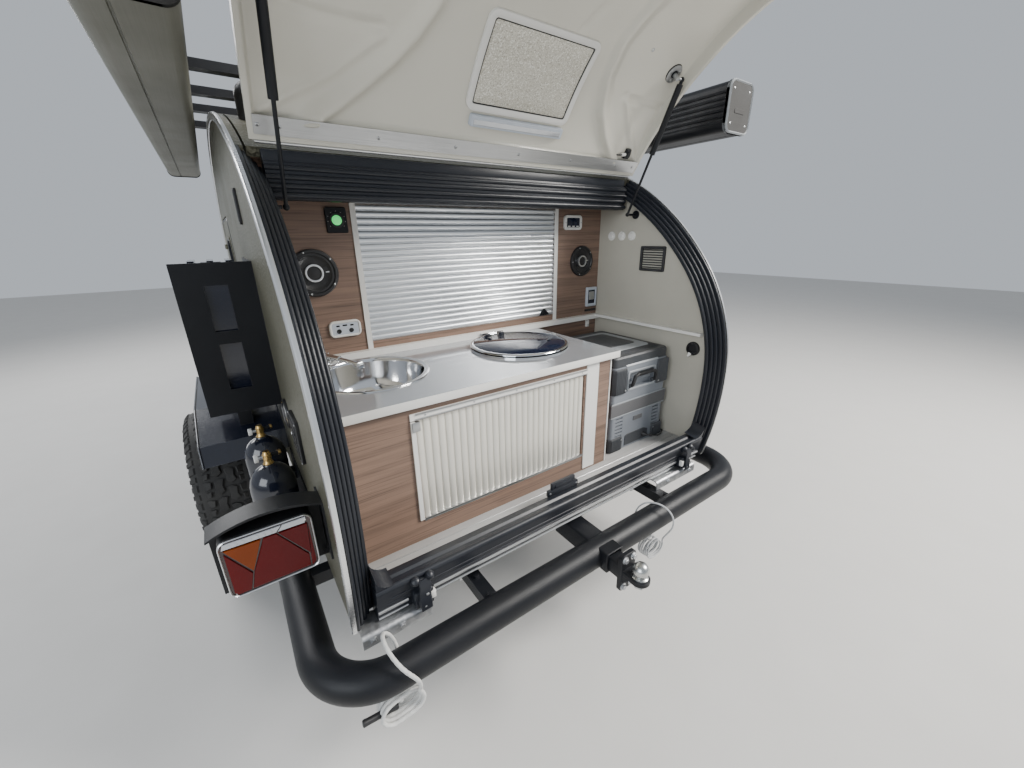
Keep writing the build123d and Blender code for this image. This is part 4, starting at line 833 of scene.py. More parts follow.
def sillPoint(inset, z):
    # the point of the body line at height z, moved inward by inset
    line = bodyPoints(inset, "rear", 0.5, 1.0)
    for a, b in zip(line, line[1:]):
        if a[1] <= z <= b[1]:
            t = (z - a[1]) / (b[1] - a[1])
            return a[0] + t * (b[0] - a[0]), z
    return line[0][0], z


def buildProfile():
    bm = bmesh.new()
    section = []
    for k in range(profile["ribs"]):
        x, deep = profile["outer"] - k * profile["ribWidth"], k * profile["step"]
        last = 0.0065 if k < profile["ribs"] - 1 else 0.0
        section += [(x, deep + 0.006), (x - 0.0008, deep + 0.0022), (x - 0.0028, deep + 0.0004),
                    (x - 0.0055, deep), (x - 0.0085, deep + 0.0004),
                    (x - 0.0104 - last * 0.05, deep + 0.0024)]
    section += [(profile["inner"], profile["step"] * 4 + 0.004), (profile["inner"], profile["back"]),
                (profile["outer"], profile["back"])]
    tilt = math.radians(100.5)
    edge, top, r = profile["inner"], profile["sillTop"], profile["corner"]
    for side in (-1, 1):
        sweepBody(bm, section, side)
        corner = [(side * edge, 0.0), (side * (edge - r), 0.0)]
        for k in range(7):
            a = math.radians(-90 + 15 * k)
            corner.append((side * (edge - r + r * math.cos(a)), (r + r * math.sin(a)) / math.sin(tilt)))
        addPlate(bm, corner, (0, sillPoint(0.003, top)[0], top), rightward,
                 (0, math.cos(tilt), math.sin(tilt)), -0.056, 0.002)
    front = [sillPoint(0.0, z) for z in (0.5403, 0.552, 0.564, 0.578, 0.592, 0.606, 0.62, 0.632)]
    middle, lip = sillPoint(0.0085, 0.6405), 0.0095
    section = front
    for k in range(1, 8):
        a = math.radians(200 - 25 * k)
        section.append((middle[0] + lip * math.cos(a), middle[1] + lip * math.sin(a)))
    inner = sillPoint(profile["back"], top)[0]
    section += [(inner - 0.03, 0.644), (inner - 0.024, 0.6495), (inner - 0.012, 0.65), (inner, 0.646),
                sillPoint(profile["back"], 0.5403)]
    addRings(bm, [[(x, y, z) for y, z in section] for x in (-edge - 0.001, edge + 0.001)])
    for z, half, proud in ((0.607, 0.655, 0.0014), (0.5885, 0.668, 0.001)):
        y = sillPoint(0.0, z)[0] + 0.0008 - proud * 0.2
        addTube(bm, [(half * share, y, z) for share in (-1, -0.5, 0, 0.5, 1)], 0.0022)
    for k, drop in enumerate((0.033, 0.011, -0.011, -0.033)):
        addTube(bm, [(x * 0.115, -1.1282 - 0.0008 * k, 1.6005 + drop) for x in range(-6, 7)], 0.0078)
    addBlock(bm, (-0.69, -1.1305, 1.556), (0.69, -1.086, 1.648), 0.004)
    addBlock(bm, (-0.69, -1.122, 1.64), (0.69, -1.086, 1.676), 0.003)
    return finishPiece(bm, "openingProfile", ["rubber"], instead=["opening_profile"], angle=40)


def buildTrims():
    bm = bmesh.new()
    dome = [(0.7441, -0.0008), (0.7441, -0.003), (0.75, -0.003), (0.7535, -0.002), (0.7555, 0.001),
            (0.7559, 0.006), (0.7559, 0.013), (0.7552, 0.018), (0.7535, 0.0212), (0.7502, 0.022),
            (0.7502, 0.0002)]
    low = sillPoint(0.0095, 0.5402)[0]
    screws = bodyPoints(0.0095, "all", 0.6)[:60:4]
    for side in (-1, 1):
        sweepBody(bm, dome, side, "all")
        addRod(bm, (side * 0.7502, low, 0.5445), (side * 0.7558, low, 0.5445), 0.0124, 0.002, 28)
        for y, z, heading in screws:
            addBolt(bm, (side * 0.7557, y, z), (side, 0, 0), 0.0032, 0.0012, "dome", 1)
    addRod(bm, (-0.7, hingeY, hingeZ), (0.7, hingeY, hingeZ), 0.005, 0.001, 16, 0)
    for z, thick in ((0.5735, 0.0042), (0.55, 0.0026)):
        y = sillPoint(0.0, z)[0] - 0.0012
        strip = [(0.002, -thick), (0.0032, -thick * 0.4), (0.0032, thick * 0.4), (0.002, thick),
                 (-0.002, thick), (-0.002, -thick)]
        for a, b in ((-0.69, -0.612), (-0.54, 0.54), (0.612, 0.69)):
            addTube(bm, [(a, y, z), ((a + b) / 2, y, z), (b, y, z)], strip, up=upward)
    return finishPiece(bm, "edgeTrims", ["trim", "steel"], instead=["edge_trims"], angle=40)


buildProfile()
buildTrims()
print("stage: opening profile and trims")

# Tyres with blocky tread, and the wheel centres' small parts
wheel = {"centre": (0.9925, -0.28, 0.365), "pitches": 30, "foot": 0.35, "top": 0.3648}
# The tread's blocks for one pitch, as (across, share of the pitch), and the side lugs as (first share,
# last share, lowest radius, how far they stand out)
treadBlocks = [
    [(0.003, 0.06), (0.02, 0.02), (0.037, 0.16), (0.034, 0.52), (0.041, 0.74), (0.022, 0.86),
     (0.006, 0.7), (0.01, 0.42)],
    [(0.045, 0.1), (0.066, 0.02), (0.092, 0.06), (0.092, 0.44), (0.068, 0.5), (0.048, 0.42)],
    [(0.05, 0.6), (0.086, 0.58), (0.089, 0.92), (0.053, 0.88)],
]
sideLugs = [(0.08, 0.44, 0.306, 0.0025), (0.6, 0.9, 0.318, 0.0018)]


def wheelPoint(side, across, radius, angle):
    x, y, z = wheel["centre"]
    return Vector((side * (x + across), y + radius * math.cos(angle), z + radius * math.sin(angle)))


def treadTop(across):
    return wheel["top"] - 13.2 * max(0.0, abs(across) - 0.045) ** 2


def addTreadBlock(bm, side, outline):
    # outline is a list of (across, angle) points; the block narrows from its foot to its softened top
    middle = [sum(p[i] for p in outline) / len(outline) for i in (0, 1)]
    rows = []
    for isFoot, drop, size in ((True, 0.0, 1.03), (False, 0.0016, 1.0), (False, 0.0, 0.86)):
        row = []
        for across, angle in outline:
            a = middle[0] + (across - middle[0]) * size
            t = middle[1] + (angle - middle[1]) * size
            row.append(wheelPoint(side, a, wheel["foot"] if isFoot else treadTop(a) - drop, t))
        rows.append(row)
    addRings(bm, rows)


def buildTyre(side, name, node):
    bm = bmesh.new()
    x, y, z = wheel["centre"]
    half = [(0.078, 0.3545), (0.094, 0.348), (0.104, 0.335), (0.11, 0.318), (0.1135, 0.3),
            (0.115, 0.293), (0.115, 0.288), (0.1162, 0.27), (0.116, 0.25), (0.1125, 0.236),
            (0.114, 0.23), (0.109, 0.216), (0.103, 0.206), (0.1, 0.2), (0.096, 0.1935), (0.09, 0.19)]
    closed = [(r, -h) for h, r in reversed(half)] + [(r, h) for h, r in half]
    closed += [(0.205, 0.086), (0.3, 0.095), (0.335, 0.07), (0.335, -0.07), (0.3, -0.095), (0.205, -0.086)]
    addLathe(bm, closed, (side * x, y, z), rightward, 96, 0, True)
    pitch = 2 * math.pi / wheel["pitches"]
    for k in range(wheel["pitches"]):
        for sign, offset in ((-1, k * pitch), (1, (k + 0.5) * pitch)):
            for block in treadBlocks:
                addTreadBlock(bm, side, [(sign * a, offset + b * pitch) for a, b in block])
            for first, last, low, proud in sideLugs:
                lug = ((first, -0.004), (first + 0.02, proud), (last - 0.02, proud), (last, -0.004))
                addRings(bm, [[wheelPoint(side, sign * (across + out), radius + out * 0.4, offset + b * pitch)
                               for b, out in lug]
                              for across, radius in ((0.0915, 0.3525), (0.1045, 0.338), (0.1105, 0.322),
                                                     (0.1138, low))])
    return finishPiece(bm, name, ["tyre"], "wheel_left" if side < 0 else "wheel_right", [node], angle=38)


def buildWheelTrim(side, name, body):
    bm = bmesh.new()
    x, y, z = wheel["centre"]
    face = side * (x + 0.04)
    for k in range(5):
        a = math.radians(90 + 72 * k)
        addBolt(bm, (face - side * 0.006, y + 0.045 * math.cos(a), z + 0.045 * math.sin(a)),
                (side, 0, 0), 0.0095, 0.013)
    addLathe(bm, [(0.0, 0.0), (0.03, 0.0), (0.03, 0.01), (0.027, 0.016), (0.012, 0.019), (0.0, 0.0195)],
             (face - side * 0.002, y, z), (side, 0, 0), 36, 1)
    a = math.radians(205)
    spot = (side * (x + 0.062), y + 0.163 * math.cos(a), z + 0.163 * math.sin(a))
    addRod(bm, spot, (spot[0] + side * 0.03, spot[1] - 0.004 * math.cos(a),
                      spot[2] - 0.004 * math.sin(a)), 0.0042, 0.001, 14, 1)
    for angle in range(0, 360, 15):
        t = math.radians(angle)
        addBolt(bm, (side * (x + 0.0995), y + 0.1835 * math.cos(t), z + 0.1835 * math.sin(t)),
                (side, 0, 0), 0.0035, 0.0024, "dome", 0)
    return finishPiece(bm, name, ["steel", "blackPlastic"], body)


buildTyre(-1, "tyreLeft", "tyre_left")
buildTyre(1, "tyreRight", "tyre_right")
buildWheelTrim(-1, "wheelTrimLeft", "wheel_left")
buildWheelTrim(1, "wheelTrimRight", "wheel_right")
print("stage: wheels")


# Tail lamps: lens fields are drawn in the lamp's own width and height, outer end first
lamp = {"x": (0.78, 0.97), "z": (0.6895, 0.8445), "corner": 0.02, "rim": 0.0036,
        "back": -1.454, "face": -1.502, "fields": -1.505, "lights": -1.5085, "screws": -1.5075}
lampFields = [
    ("clearLens", [(0.04, 0.975), (0.02, 0.885), (0.6, 0.875), (0.66, 0.975)], 0.003),
    ("clearLens", [(0.68, 0.975), (0.62, 0.875), (0.93, 0.87), (0.95, 0.975)], 0.0022),
    ("amberLens", [(0.035, 0.86), (0.425, 0.85), (0.275, 0.35)], 0.0034),
    ("redLens", [(0.03, 0.8), (0.262, 0.315), (0.205, 0.035), (0.06, 0.03), (0.03, 0.08)], 0.003),
    ("redLens", [(0.455, 0.85), (0.6, 0.85), (0.905, 0.26), (0.9, 0.035), (0.225, 0.035), (0.28, 0.33)],
     0.0026),
    ("redLens", [(0.625, 0.85), (0.955, 0.85), (0.925, 0.275)], 0.0036),
    ("redLens", [(0.965, 0.84), (0.975, 0.1), (0.935, 0.035), (0.915, 0.04), (0.925, 0.24)], 0.0028),
]


def buildTailLamps():
    bm = bmesh.new()
    names = ["blackPlastic", "trim", "clearLens", "amberLens", "redLens", "darkLens"]
    (x0, x1), (z0, z1), rim = lamp["x"], lamp["z"], lamp["rim"]
    wide, tall = x1 - x0 - 2 * rim, z1 - z0 - 2 * rim

    def spot(side, u, v):
        return side * ((x0 + x1) / 2 + (0.5 - u) * wide), (z0 + z1) / 2 + (v - 0.5) * tall

    for side in (-1, 1):
        centre = spot(side, 0.5, 0.5)
        shape = rectAt(centre, x1 - x0, z1 - z0, lamp["corner"])
        slim = rectAt(centre, wide, tall, lamp["corner"] - rim)
        addFace(bm, shape, lamp["back"], 0.05, 0.003, 0)
        addFace(bm, shape, lamp["face"], 0.0078, 0.0018, 1, slim)
        addFace(bm, slim, lamp["face"], 0.0032, 0.0004, 5)
        for look, field, proud in lampFields:
            addFace(bm, [spot(side, u, v) for u, v in field], lamp["fields"], 0.001 + proud, 0.0009,
                    names.index(look))
        for row in range(7):
            x, z = spot(side, 0.1 + 0.075 * row, 0.927)
            addBolt(bm, (x, lamp["lights"], z), rearward, 0.0042, 0.0012, "dome", 2)
        for u, v in ((0.055, 0.06), (0.94, 0.93)):
            x, z = spot(side, u, v)
            addBolt(bm, (x, lamp["screws"], z), rearward, 0.0032, 0.0012, "dome", 1)
    return finishPiece(bm, "tailLamps", names, instead=["tail_lamps"])


buildTailLamps()
print("stage: lamps")


# Ropes tied round the bumper: one line each, round the tube and on into the hank's turns
def ropeLine(points):
    # the points of the smooth line through these control points, read from a curve with no bevel
    curve = bpy.data.curves.new("ropeRoute", "CURVE")
    curve.dimensions = "3D"
    curve.resolution_u = 10
    spline = curve.splines.new("NURBS")
    spline.points.add(len(points) - 1)
    for holder, point in zip(spline.points, points):
        holder.co = (*point, 1.0)
    spline.order_u = 3
    spline.use_endpoint_u = True
    holder = bpy.data.objects.new("ropeRoute", curve)
    mesh = bpy.data.meshes.new_from_object(holder)
    line = [v.co.copy() for v in mesh.vertices]
    bpy.data.objects.remove(holder)
    bpy.data.curves.remove(curve)
    bpy.data.meshes.remove(mesh)
    return line


braid = {"sides": 20, "low": 0.93, "relief": 0.07}


def addRope(bm, line, rope):
    # a braid: two sets of strands wind opposite ways and show as raised diamonds
    radius, strands = rope["diameter"] / 2, rope["strands"]
    rows = []
    walked, side = 0.0, None
    for i, point in enumerate(line):
        along = (line[min(i + 1, len(line) - 1)] - line[max(i - 1, 0)]).normalized()
        side = basisFor(along)[0] if side is None else (side - along * side.dot(along)).normalized()
        over = along.cross(side)
        if i:
            walked += (point - line[i - 1]).length
        wind = 2 * math.pi * walked / rope["lay"]
        row = []
        for k in range(braid["sides"]):
            a = 2 * math.pi * k / braid["sides"]
            raised = max(math.cos(strands * (a + wind)), math.cos(strands * (a - wind)))
            reach = radius * (braid["low"] + braid["relief"] * raised)
            row.append(point + (side * math.cos(a) + over * math.sin(a)) * reach)
        rows.append(row)
    addRings(bm, rows)


def denser(line, gap):
    found = [line[0]]
    for a, b in zip(line, line[1:]):
        count = max(1, round((b - a).length / gap))
        found += [a.lerp(b, k / count) for k in range(1, count + 1)]
    return found


leftRope = {
    "diameter": 0.01, "lay": 0.046, "strands": 3,
    "loop": [(-.692, -1.738, .402), (-.674, -1.697, .416), (-.664, -1.669, .47), (-.676, -1.666, .53),
             (-.702, -1.684, .574), (-.706, -1.734, .574), (-.688, -1.776, .542), (-.656, -1.785, .492),
             (-.646, -1.765, .438), (-.648, -1.752, .414)],
    "middle": (-.69, .384), "turns": 4, "perTurn": 20, "deep": (-1.7555, -1.7085), "wide": .052,
    "tall": .0335, "tilt": 8, "start": 8,
    "fan": [(0.0, 0.0, 1.0), (-.002, -.001, 0.98), (.001, .001, 1.0), (-.003, 0.0, 0.98), (0.0, .001, 0.99)],
}
rightRope = {
    "diameter": 0.006, "lay": 0.03, "strands": 3,
    "loop": [(.252, -1.736, .404), (.236, -1.702, .426), (.23, -1.68, .472), (.238, -1.686, .522),
             (.256, -1.714, .552), (.278, -1.762, .556), (.294, -1.796, .524), (.299, -1.8, .474),
             (.296, -1.778, .43), (.296, -1.764, .4)],
    "middle": (.266, .366), "turns": 6, "perTurn": 12, "deep": (-1.76, -1.712), "wide": .043,
    "tall": .033, "tilt": 8, "start": 10,
    "fan": [(0.0, 0.0, 1.0), (.004, -.004, .9), (-.004, .004, .95), (.003, -.006, .88),
            (-.003, .001, 1.0), (.002, -.003, .92), (0.0, 0.0, .95)],
}


def foldedTurn(wide, tall, share):
    # a point of one flattened turn, anticlockwise from its right-hand fold: round folds and straight runs
    straight, fold = 2 * (wide - tall), math.pi * tall
    walked = (share % 1.0) * 2 * (straight + fold)
    if fold / 2 < walked < fold / 2 + straight:
        return wide - tall - (walked - fold / 2), tall
    if 1.5 * fold + straight < walked < 1.5 * fold + 2 * straight:
        return tall - wide + (walked - 1.5 * fold - straight), -tall
    if fold / 2 + straight <= walked <= 1.5 * fold + straight:
        a = (walked - straight) / tall
        return tall - wide + tall * math.cos(a), tall * math.sin(a)
    a = walked / tall if walked <= fold / 2 else (walked - 2 * straight) / tall
    return wide - tall + tall * math.cos(a), tall * math.sin(a)


def hankPoints(rope):
    found = []
    fan = rope["fan"]
    total = rope["turns"] * rope["perTurn"]
    for k in range(total + 1):
        turn = k / rope["perTurn"]
        first, second = fan[int(turn) % len(fan)], fan[(int(turn) + 1) % len(fan)]
        dx, dz, size = (a + (b - a) * (turn - int(turn)) for a, b in zip(first, second))
        u, v = foldedTurn(rope["wide"] * size, rope["tall"] * size, rope["start"] / 360 - turn)
        tilt = math.radians(rope["tilt"])
        y = rope["deep"][0] + (rope["deep"][1] - rope["deep"][0]) * k / total
        found.append((rope["middle"][0] + dx + u * math.cos(tilt) - v * math.sin(tilt), y,
                      rope["middle"][1] + dz + u * math.sin(tilt) + v * math.cos(tilt)))
    return found


def buildRope(rope, name, look, nodes, toggle=None):
    line = ropeLine(rope["loop"] + hankPoints(rope))
    bm = bmesh.new()
    radius = rope["diameter"] / 2
    addRope(bm, denser(line, radius * 0.42), rope)
    if toggle:
        toggleMesh = bmesh.new()
        a, b = Vector(toggle[0]), Vector(toggle[1])
        end = (b - a).length
        addLathe(toggleMesh, [(0, 0), (0.0065, 0), (0.0082, 0.0015), (0.0085, 0.006), (0.008, 0.01),
                              (0.008, end - 0.014), (0.0086, end - 0.01), (0.0086, end - 0.002),
                              (0.007, end), (0, end)], a, b - a, 28)
        finishPiece(toggleMesh, name + "Toggle", ["blackPlastic"])
    bind = bmesh.new()
    start = rope["loop"][0]
    addLathe(bind, [(0, 0), (radius * 1.15, 0), (radius * 1.35, radius * 0.4),
                    (radius * 1.35, radius * 1.8), (radius * 1.15, radius * 2.2), (0, radius * 2.2)],
             (start[0], start[1], start[2] - radius * 1.1), (0.2, -0.3, 1.0), 20)
    finishPiece(bind, name + "Whipping", [look])
    cord = finishPiece(bm, name, [look], instead=nodes, angle=60)


buildRope(leftRope, "leftRope", "ropeWhite", ["rope_left", "rope_left_hank"],
          ((-.784, -1.735, .392), (-.7, -1.735, .381)))
buildRope(rightRope, "rightRope", "ropeGrey", ["rope_right", "rope_right_hank"])
print("stage: ropes")


# Compressor cooler: corner guards, bands, handle, control strip and feet on its shell
cooler = {"x": (0.345, 0.685), "middle": 0.515, "front": -1.44, "guard": 0.074,
          "guardHigh": (0.85, 0.955), "guardLow": (0.592, 0.652)}


def addGuard(bm, x, inward, low, high):
    # a ribbed rubber guard that wraps the cooler's front corner, drawn inward from it as (across, depth)
    grip = cooler["guard"]
    points = [(grip, -0.0035), (grip - 0.004, -0.008)]
    for k in range(7):
        start = grip - 0.012 - k * 0.0085
        points += [(start, -0.009), (start - 0.003, -0.0068), (start - 0.0055, -0.009)]
    points += [(0.004, -0.006), (-0.004, 0.004), (-0.0048, 0.03), (-0.003, 0.034), (0.004, 0.034),
               (0.006, 0.004)]
    rows = []
    for z, pull in ((low, 0.0035), (low + 0.004, 0.0), (high - 0.012, 0.0), (high - 0.003, 0.002),
                    (high, 0.006)):
        rows.append([(x + inward * (u + (grip * 0.5 - u) * pull * 6), cooler["front"] + v + pull * 0.6, z)
                     for u, v in points])
    addRings(bm, rows)


def buildCoolerDetails():
    bm = bmesh.new()
    names = ["coolerDark", "coolerPale", "blackPlastic", "steel", "greyBand"]
    y, middle = cooler["front"], cooler["middle"]
    for x, inward in ((cooler["x"][0], 1), (cooler["x"][1], -1)):
        addGuard(bm, x, inward, *cooler["guardHigh"])
        addGuard(bm, x, inward, *cooler["guardLow"])
        for z in (0.862, 0.64):
            addBolt(bm, (x + inward * 0.064, y - 0.0085, z), rearward, 0.004, 0.002, "dome", 3)
    band = [(0.3405, 0.752), (0.6895, 0.752), (0.6895, 0.806), (0.3405, 0.806)]
    addFace(bm, band, y + 0.001, 0.0035, 0.0015, 4)
    for x in (0.3405, 0.6861):
        addBlock(bm, (x, y, 0.752), (x + 0.0034, -1.055, 0.806), 0.0012, 4)
    for low, high in ((0.806, 0.811), (0.747, 0.752)):
        addBlock(bm, (0.343, y - 0.0032, low), (0.687, y + 0.002, high), 0.0014, 1)
    surround, hole = (rectAt((middle, 0.895), w, h, r, 5)
                      for w, h, r in ((0.176, 0.084, 0.012), (0.158, 0.066, 0.008)))
    addFace(bm, surround, y + 0.0005, 0.0042, 0.0014, 1, hole)
    grip = [(0.444, y - 0.002, 0.872), (0.444, y - 0.014, 0.878), (0.446, y - 0.019, 0.9),
            (0.452, y - 0.02, 0.918), (0.47, y - 0.021, 0.925), (0.56, y - 0.021, 0.925),
            (0.578, y - 0.02, 0.918), (0.584, y - 0.019, 0.9), (0.586, y - 0.014, 0.878),
            (0.586, y - 0.002, 0.872)]
    addTube(bm, grip, [(-0.004, -0.006), (0.004, -0.006), (0.006, -0.003), (0.006, 0.003),
                       (0.004, 0.006), (-0.004, 0.006), (-0.006, 0.003), (-0.006, -0.003)], 2)
    for k in range(13):
        addBlock(bm, (0.472 + 0.0068 * k, y - 0.0285, 0.9175), (0.4755 + 0.0068 * k, y - 0.014, 0.9325),
                 0.0012, 2)
    for x in (0.444, 0.586):
        addRod(bm, (x - 0.008, y - 0.004, 0.874), (x + 0.008, y - 0.004, 0.874), 0.008, 0.0015, 20, 0)
    addFace(bm, rectAt((0.513, 0.716), 0.056, 0.02, 0.003, 3), y + 0.0005, 0.003, 0.0008, 4)
    socket = [(0.44, 0.6), (0.59, 0.6), (0.59, 0.64), (0.56, 0.652), (0.452, 0.652), (0.44, 0.646)]
    addFace(bm, socket, y + 0.0005, 0.003)
    addLathe(bm, [(0, 0), (0.01, 0), (0.01, 0.006), (0.007, 0.012), (0.006, 0.022), (0, 0.023)],
             (0.557, y - 0.002, 0.624), (0.2, -1, 0), 20, 2)
    addTube(bm, [(0.56, y - 0.024, 0.624), (0.59, y - 0.032, 0.618), (0.63, y - 0.03, 0.604),
                 (0.664, y - 0.022, 0.5975), (0.7, y - 0.004, 0.5975), (0.707, y + 0.03, 0.602)], 0.0032,
            2)
    return finishPiece(bm, "coolerDetails", names)


def buildCoolerLid():
    bm = bmesh.new()
    names = ["coolerDark", "coolerPale", "bluePlastic", "orangeGlow", "clearLens", "blackPlastic"]
    middle = cooler["middle"]
    x0, x1 = cooler["x"]
    for shape, place, thick, edge, slot in (
            ((0.338, 0.392, 0.022), (middle, -1.242, 0.962), 0.04, 0.006, 0),
            ((0.27, 0.28, 0.03), (middle, -1.232, 1.0), 0.0055, 0.0025, 1),
            ((0.2, 0.2, 0.02), (middle, -1.218, 1.0035), 0.004, 0.0015, 0)):
        addPlate(bm, roundedRect(*shape, 6), place, rightward, forward, thick, edge, slot)
    for k in range(6):
        addBlock(bm, (x0 + 0.02, -1.405 + 0.01 * k, 1.0), (x1 - 0.02, -1.4 + 0.01 * k, 1.0042), 0.001, 0)
    tilt = math.radians(52)
    strip = (middle, cooler["front"] - 0.0006, 0.958)
    up = (0, math.cos(tilt), math.sin(tilt))
    for half, low, high, thick, edge, slot in ((0.1, 0.0, 0.052, 0.003, 0.0012, 1),
                                               (0.088, 0.01, 0.044, 0.004, 0.0006, 5),
                                               (0.019, 0.015, 0.04, 0.0047, 0.0004, 3)):
        addPlate(bm, [(-half, low), (half, low), (half, high), (-half, high)], strip, rightward, up,
                 thick, edge, slot)
    for u in (-0.07, -0.048, 0.036, 0.056, 0.074):
        addPlate(bm, shifted(circlePoints(0.0062, 16), u, 0.027), strip, rightward, up, 0.0048, 0.0006, 2)
    for x in (0.405, 0.625):
        addRod(bm, (x - 0.022, -1.041, 0.962), (x + 0.022, -1.041, 0.962), 0.006, 0.001, 18, 5)
    return finishPiece(bm, "coolerLid", names, "cooler_cover", ["cooler_lid"])


buildCoolerDetails()
buildCoolerLid()
print("stage: cooler")


def filleted(points, radius, steps=6):
    # a closed outline with each corner rounded to the radius, where its sides are long enough
    found = []
    n = len(points)
    for i, p in enumerate(points):
        p, a, b = Vector(p), Vector(points[i - 1]), Vector(points[(i + 1) % n])
        u, v = (a - p).normalized(), (b - p).normalized()
        half = math.acos(max(-1.0, min(1.0, u.dot(v)))) / 2
        cut = min(radius / math.tan(half), 0.48 * (a - p).length, 0.48 * (b - p).length)
        r = cut * math.tan(half)
        centre = p + (u + v).normalized() * (r / math.sin(half))
        first, last = p + u * cut - centre, p + v * cut - centre
        turn = first.angle_signed(last)
        for k in range(steps + 1):
            w = -turn * k / steps
            found.append((centre.x + first.x * math.cos(w) - first.y * math.sin(w),
                          centre.y + first.x * math.sin(w) + first.y * math.cos(w)))
    return found


# Speakers, switches, sockets and vents on the galley's walls
wall = {"face": -0.965, "side": 0.7198, "speakers": [(-0.587, 1.352, 0.075), (0.601, 1.337, 0.07)],
        "dial": (-0.4945, 1.5115), "sockets": (-0.5175, 1.1615), "display": (0.536, 1.5085),
        "thermostat": (0.676, 1.1625)}


def addSpeaker(bm, x, z, radius):
    y = wall["face"]
    addLathe(bm, [(radius, 0), (radius, 0.007), (radius - 0.002, 0.011), (radius - 0.006, 0.0125),
                  (radius - 0.011, 0.0122), (radius - 0.0135, 0.009), (radius - 0.016, 0.0085),
                  (radius - 0.02, 0.0095), (radius - 0.024, 0.0075), (radius * 0.58, 0.0035),
                  (radius * 0.36, 0.0025), (radius * 0.34, 0.006), (radius * 0.2, 0.0085),
                  (radius * 0.08, 0.0095), (0, 0.0097)], (x, y, z), rearward, 56, 0)
    addLathe(bm, [(radius * 0.37, 0.0035), (radius * 0.37, 0.0118), (radius * 0.345, 0.0124),
                  (radius * 0.3, 0.0118), (radius * 0.29, 0.007)], (x, y, z), rearward, 48, 1, True)
    for k in range(5):
        a = math.radians(18 + 72 * k)
        along, across = Vector((math.cos(a), 0, math.sin(a))), Vector((-math.sin(a), 0, math.cos(a)))
        shape = [(radius * 0.36, -0.0045), (radius - 0.011, -0.0085), (radius - 0.011, 0.0085),
                 (radius * 0.36, 0.0045)]
        addPlate(bm, shape, (x, y - 0.0045, z), along, -across, 0.007, 0.0012, 0)
        addBolt(bm, (x + (radius - 0.0075) * math.cos(a + 0.35), y - 0.012,
                     z + (radius - 0.0075) * math.sin(a + 0.35)), rearward, 0.003, 0.0012, "dome", 2)
    tick = Vector((math.cos(math.radians(3)), 0, math.sin(math.radians(3))))
    addPlate(bm, [(radius * 0.48, -0.0014), (radius * 0.7, -0.0022), (radius * 0.7, 0.0022),
                  (radius * 0.48, 0.0014)], (x, y - 0.0052, z), tick, Vector((0, 0, -1)), 0.0068, 0.0005,
             1)


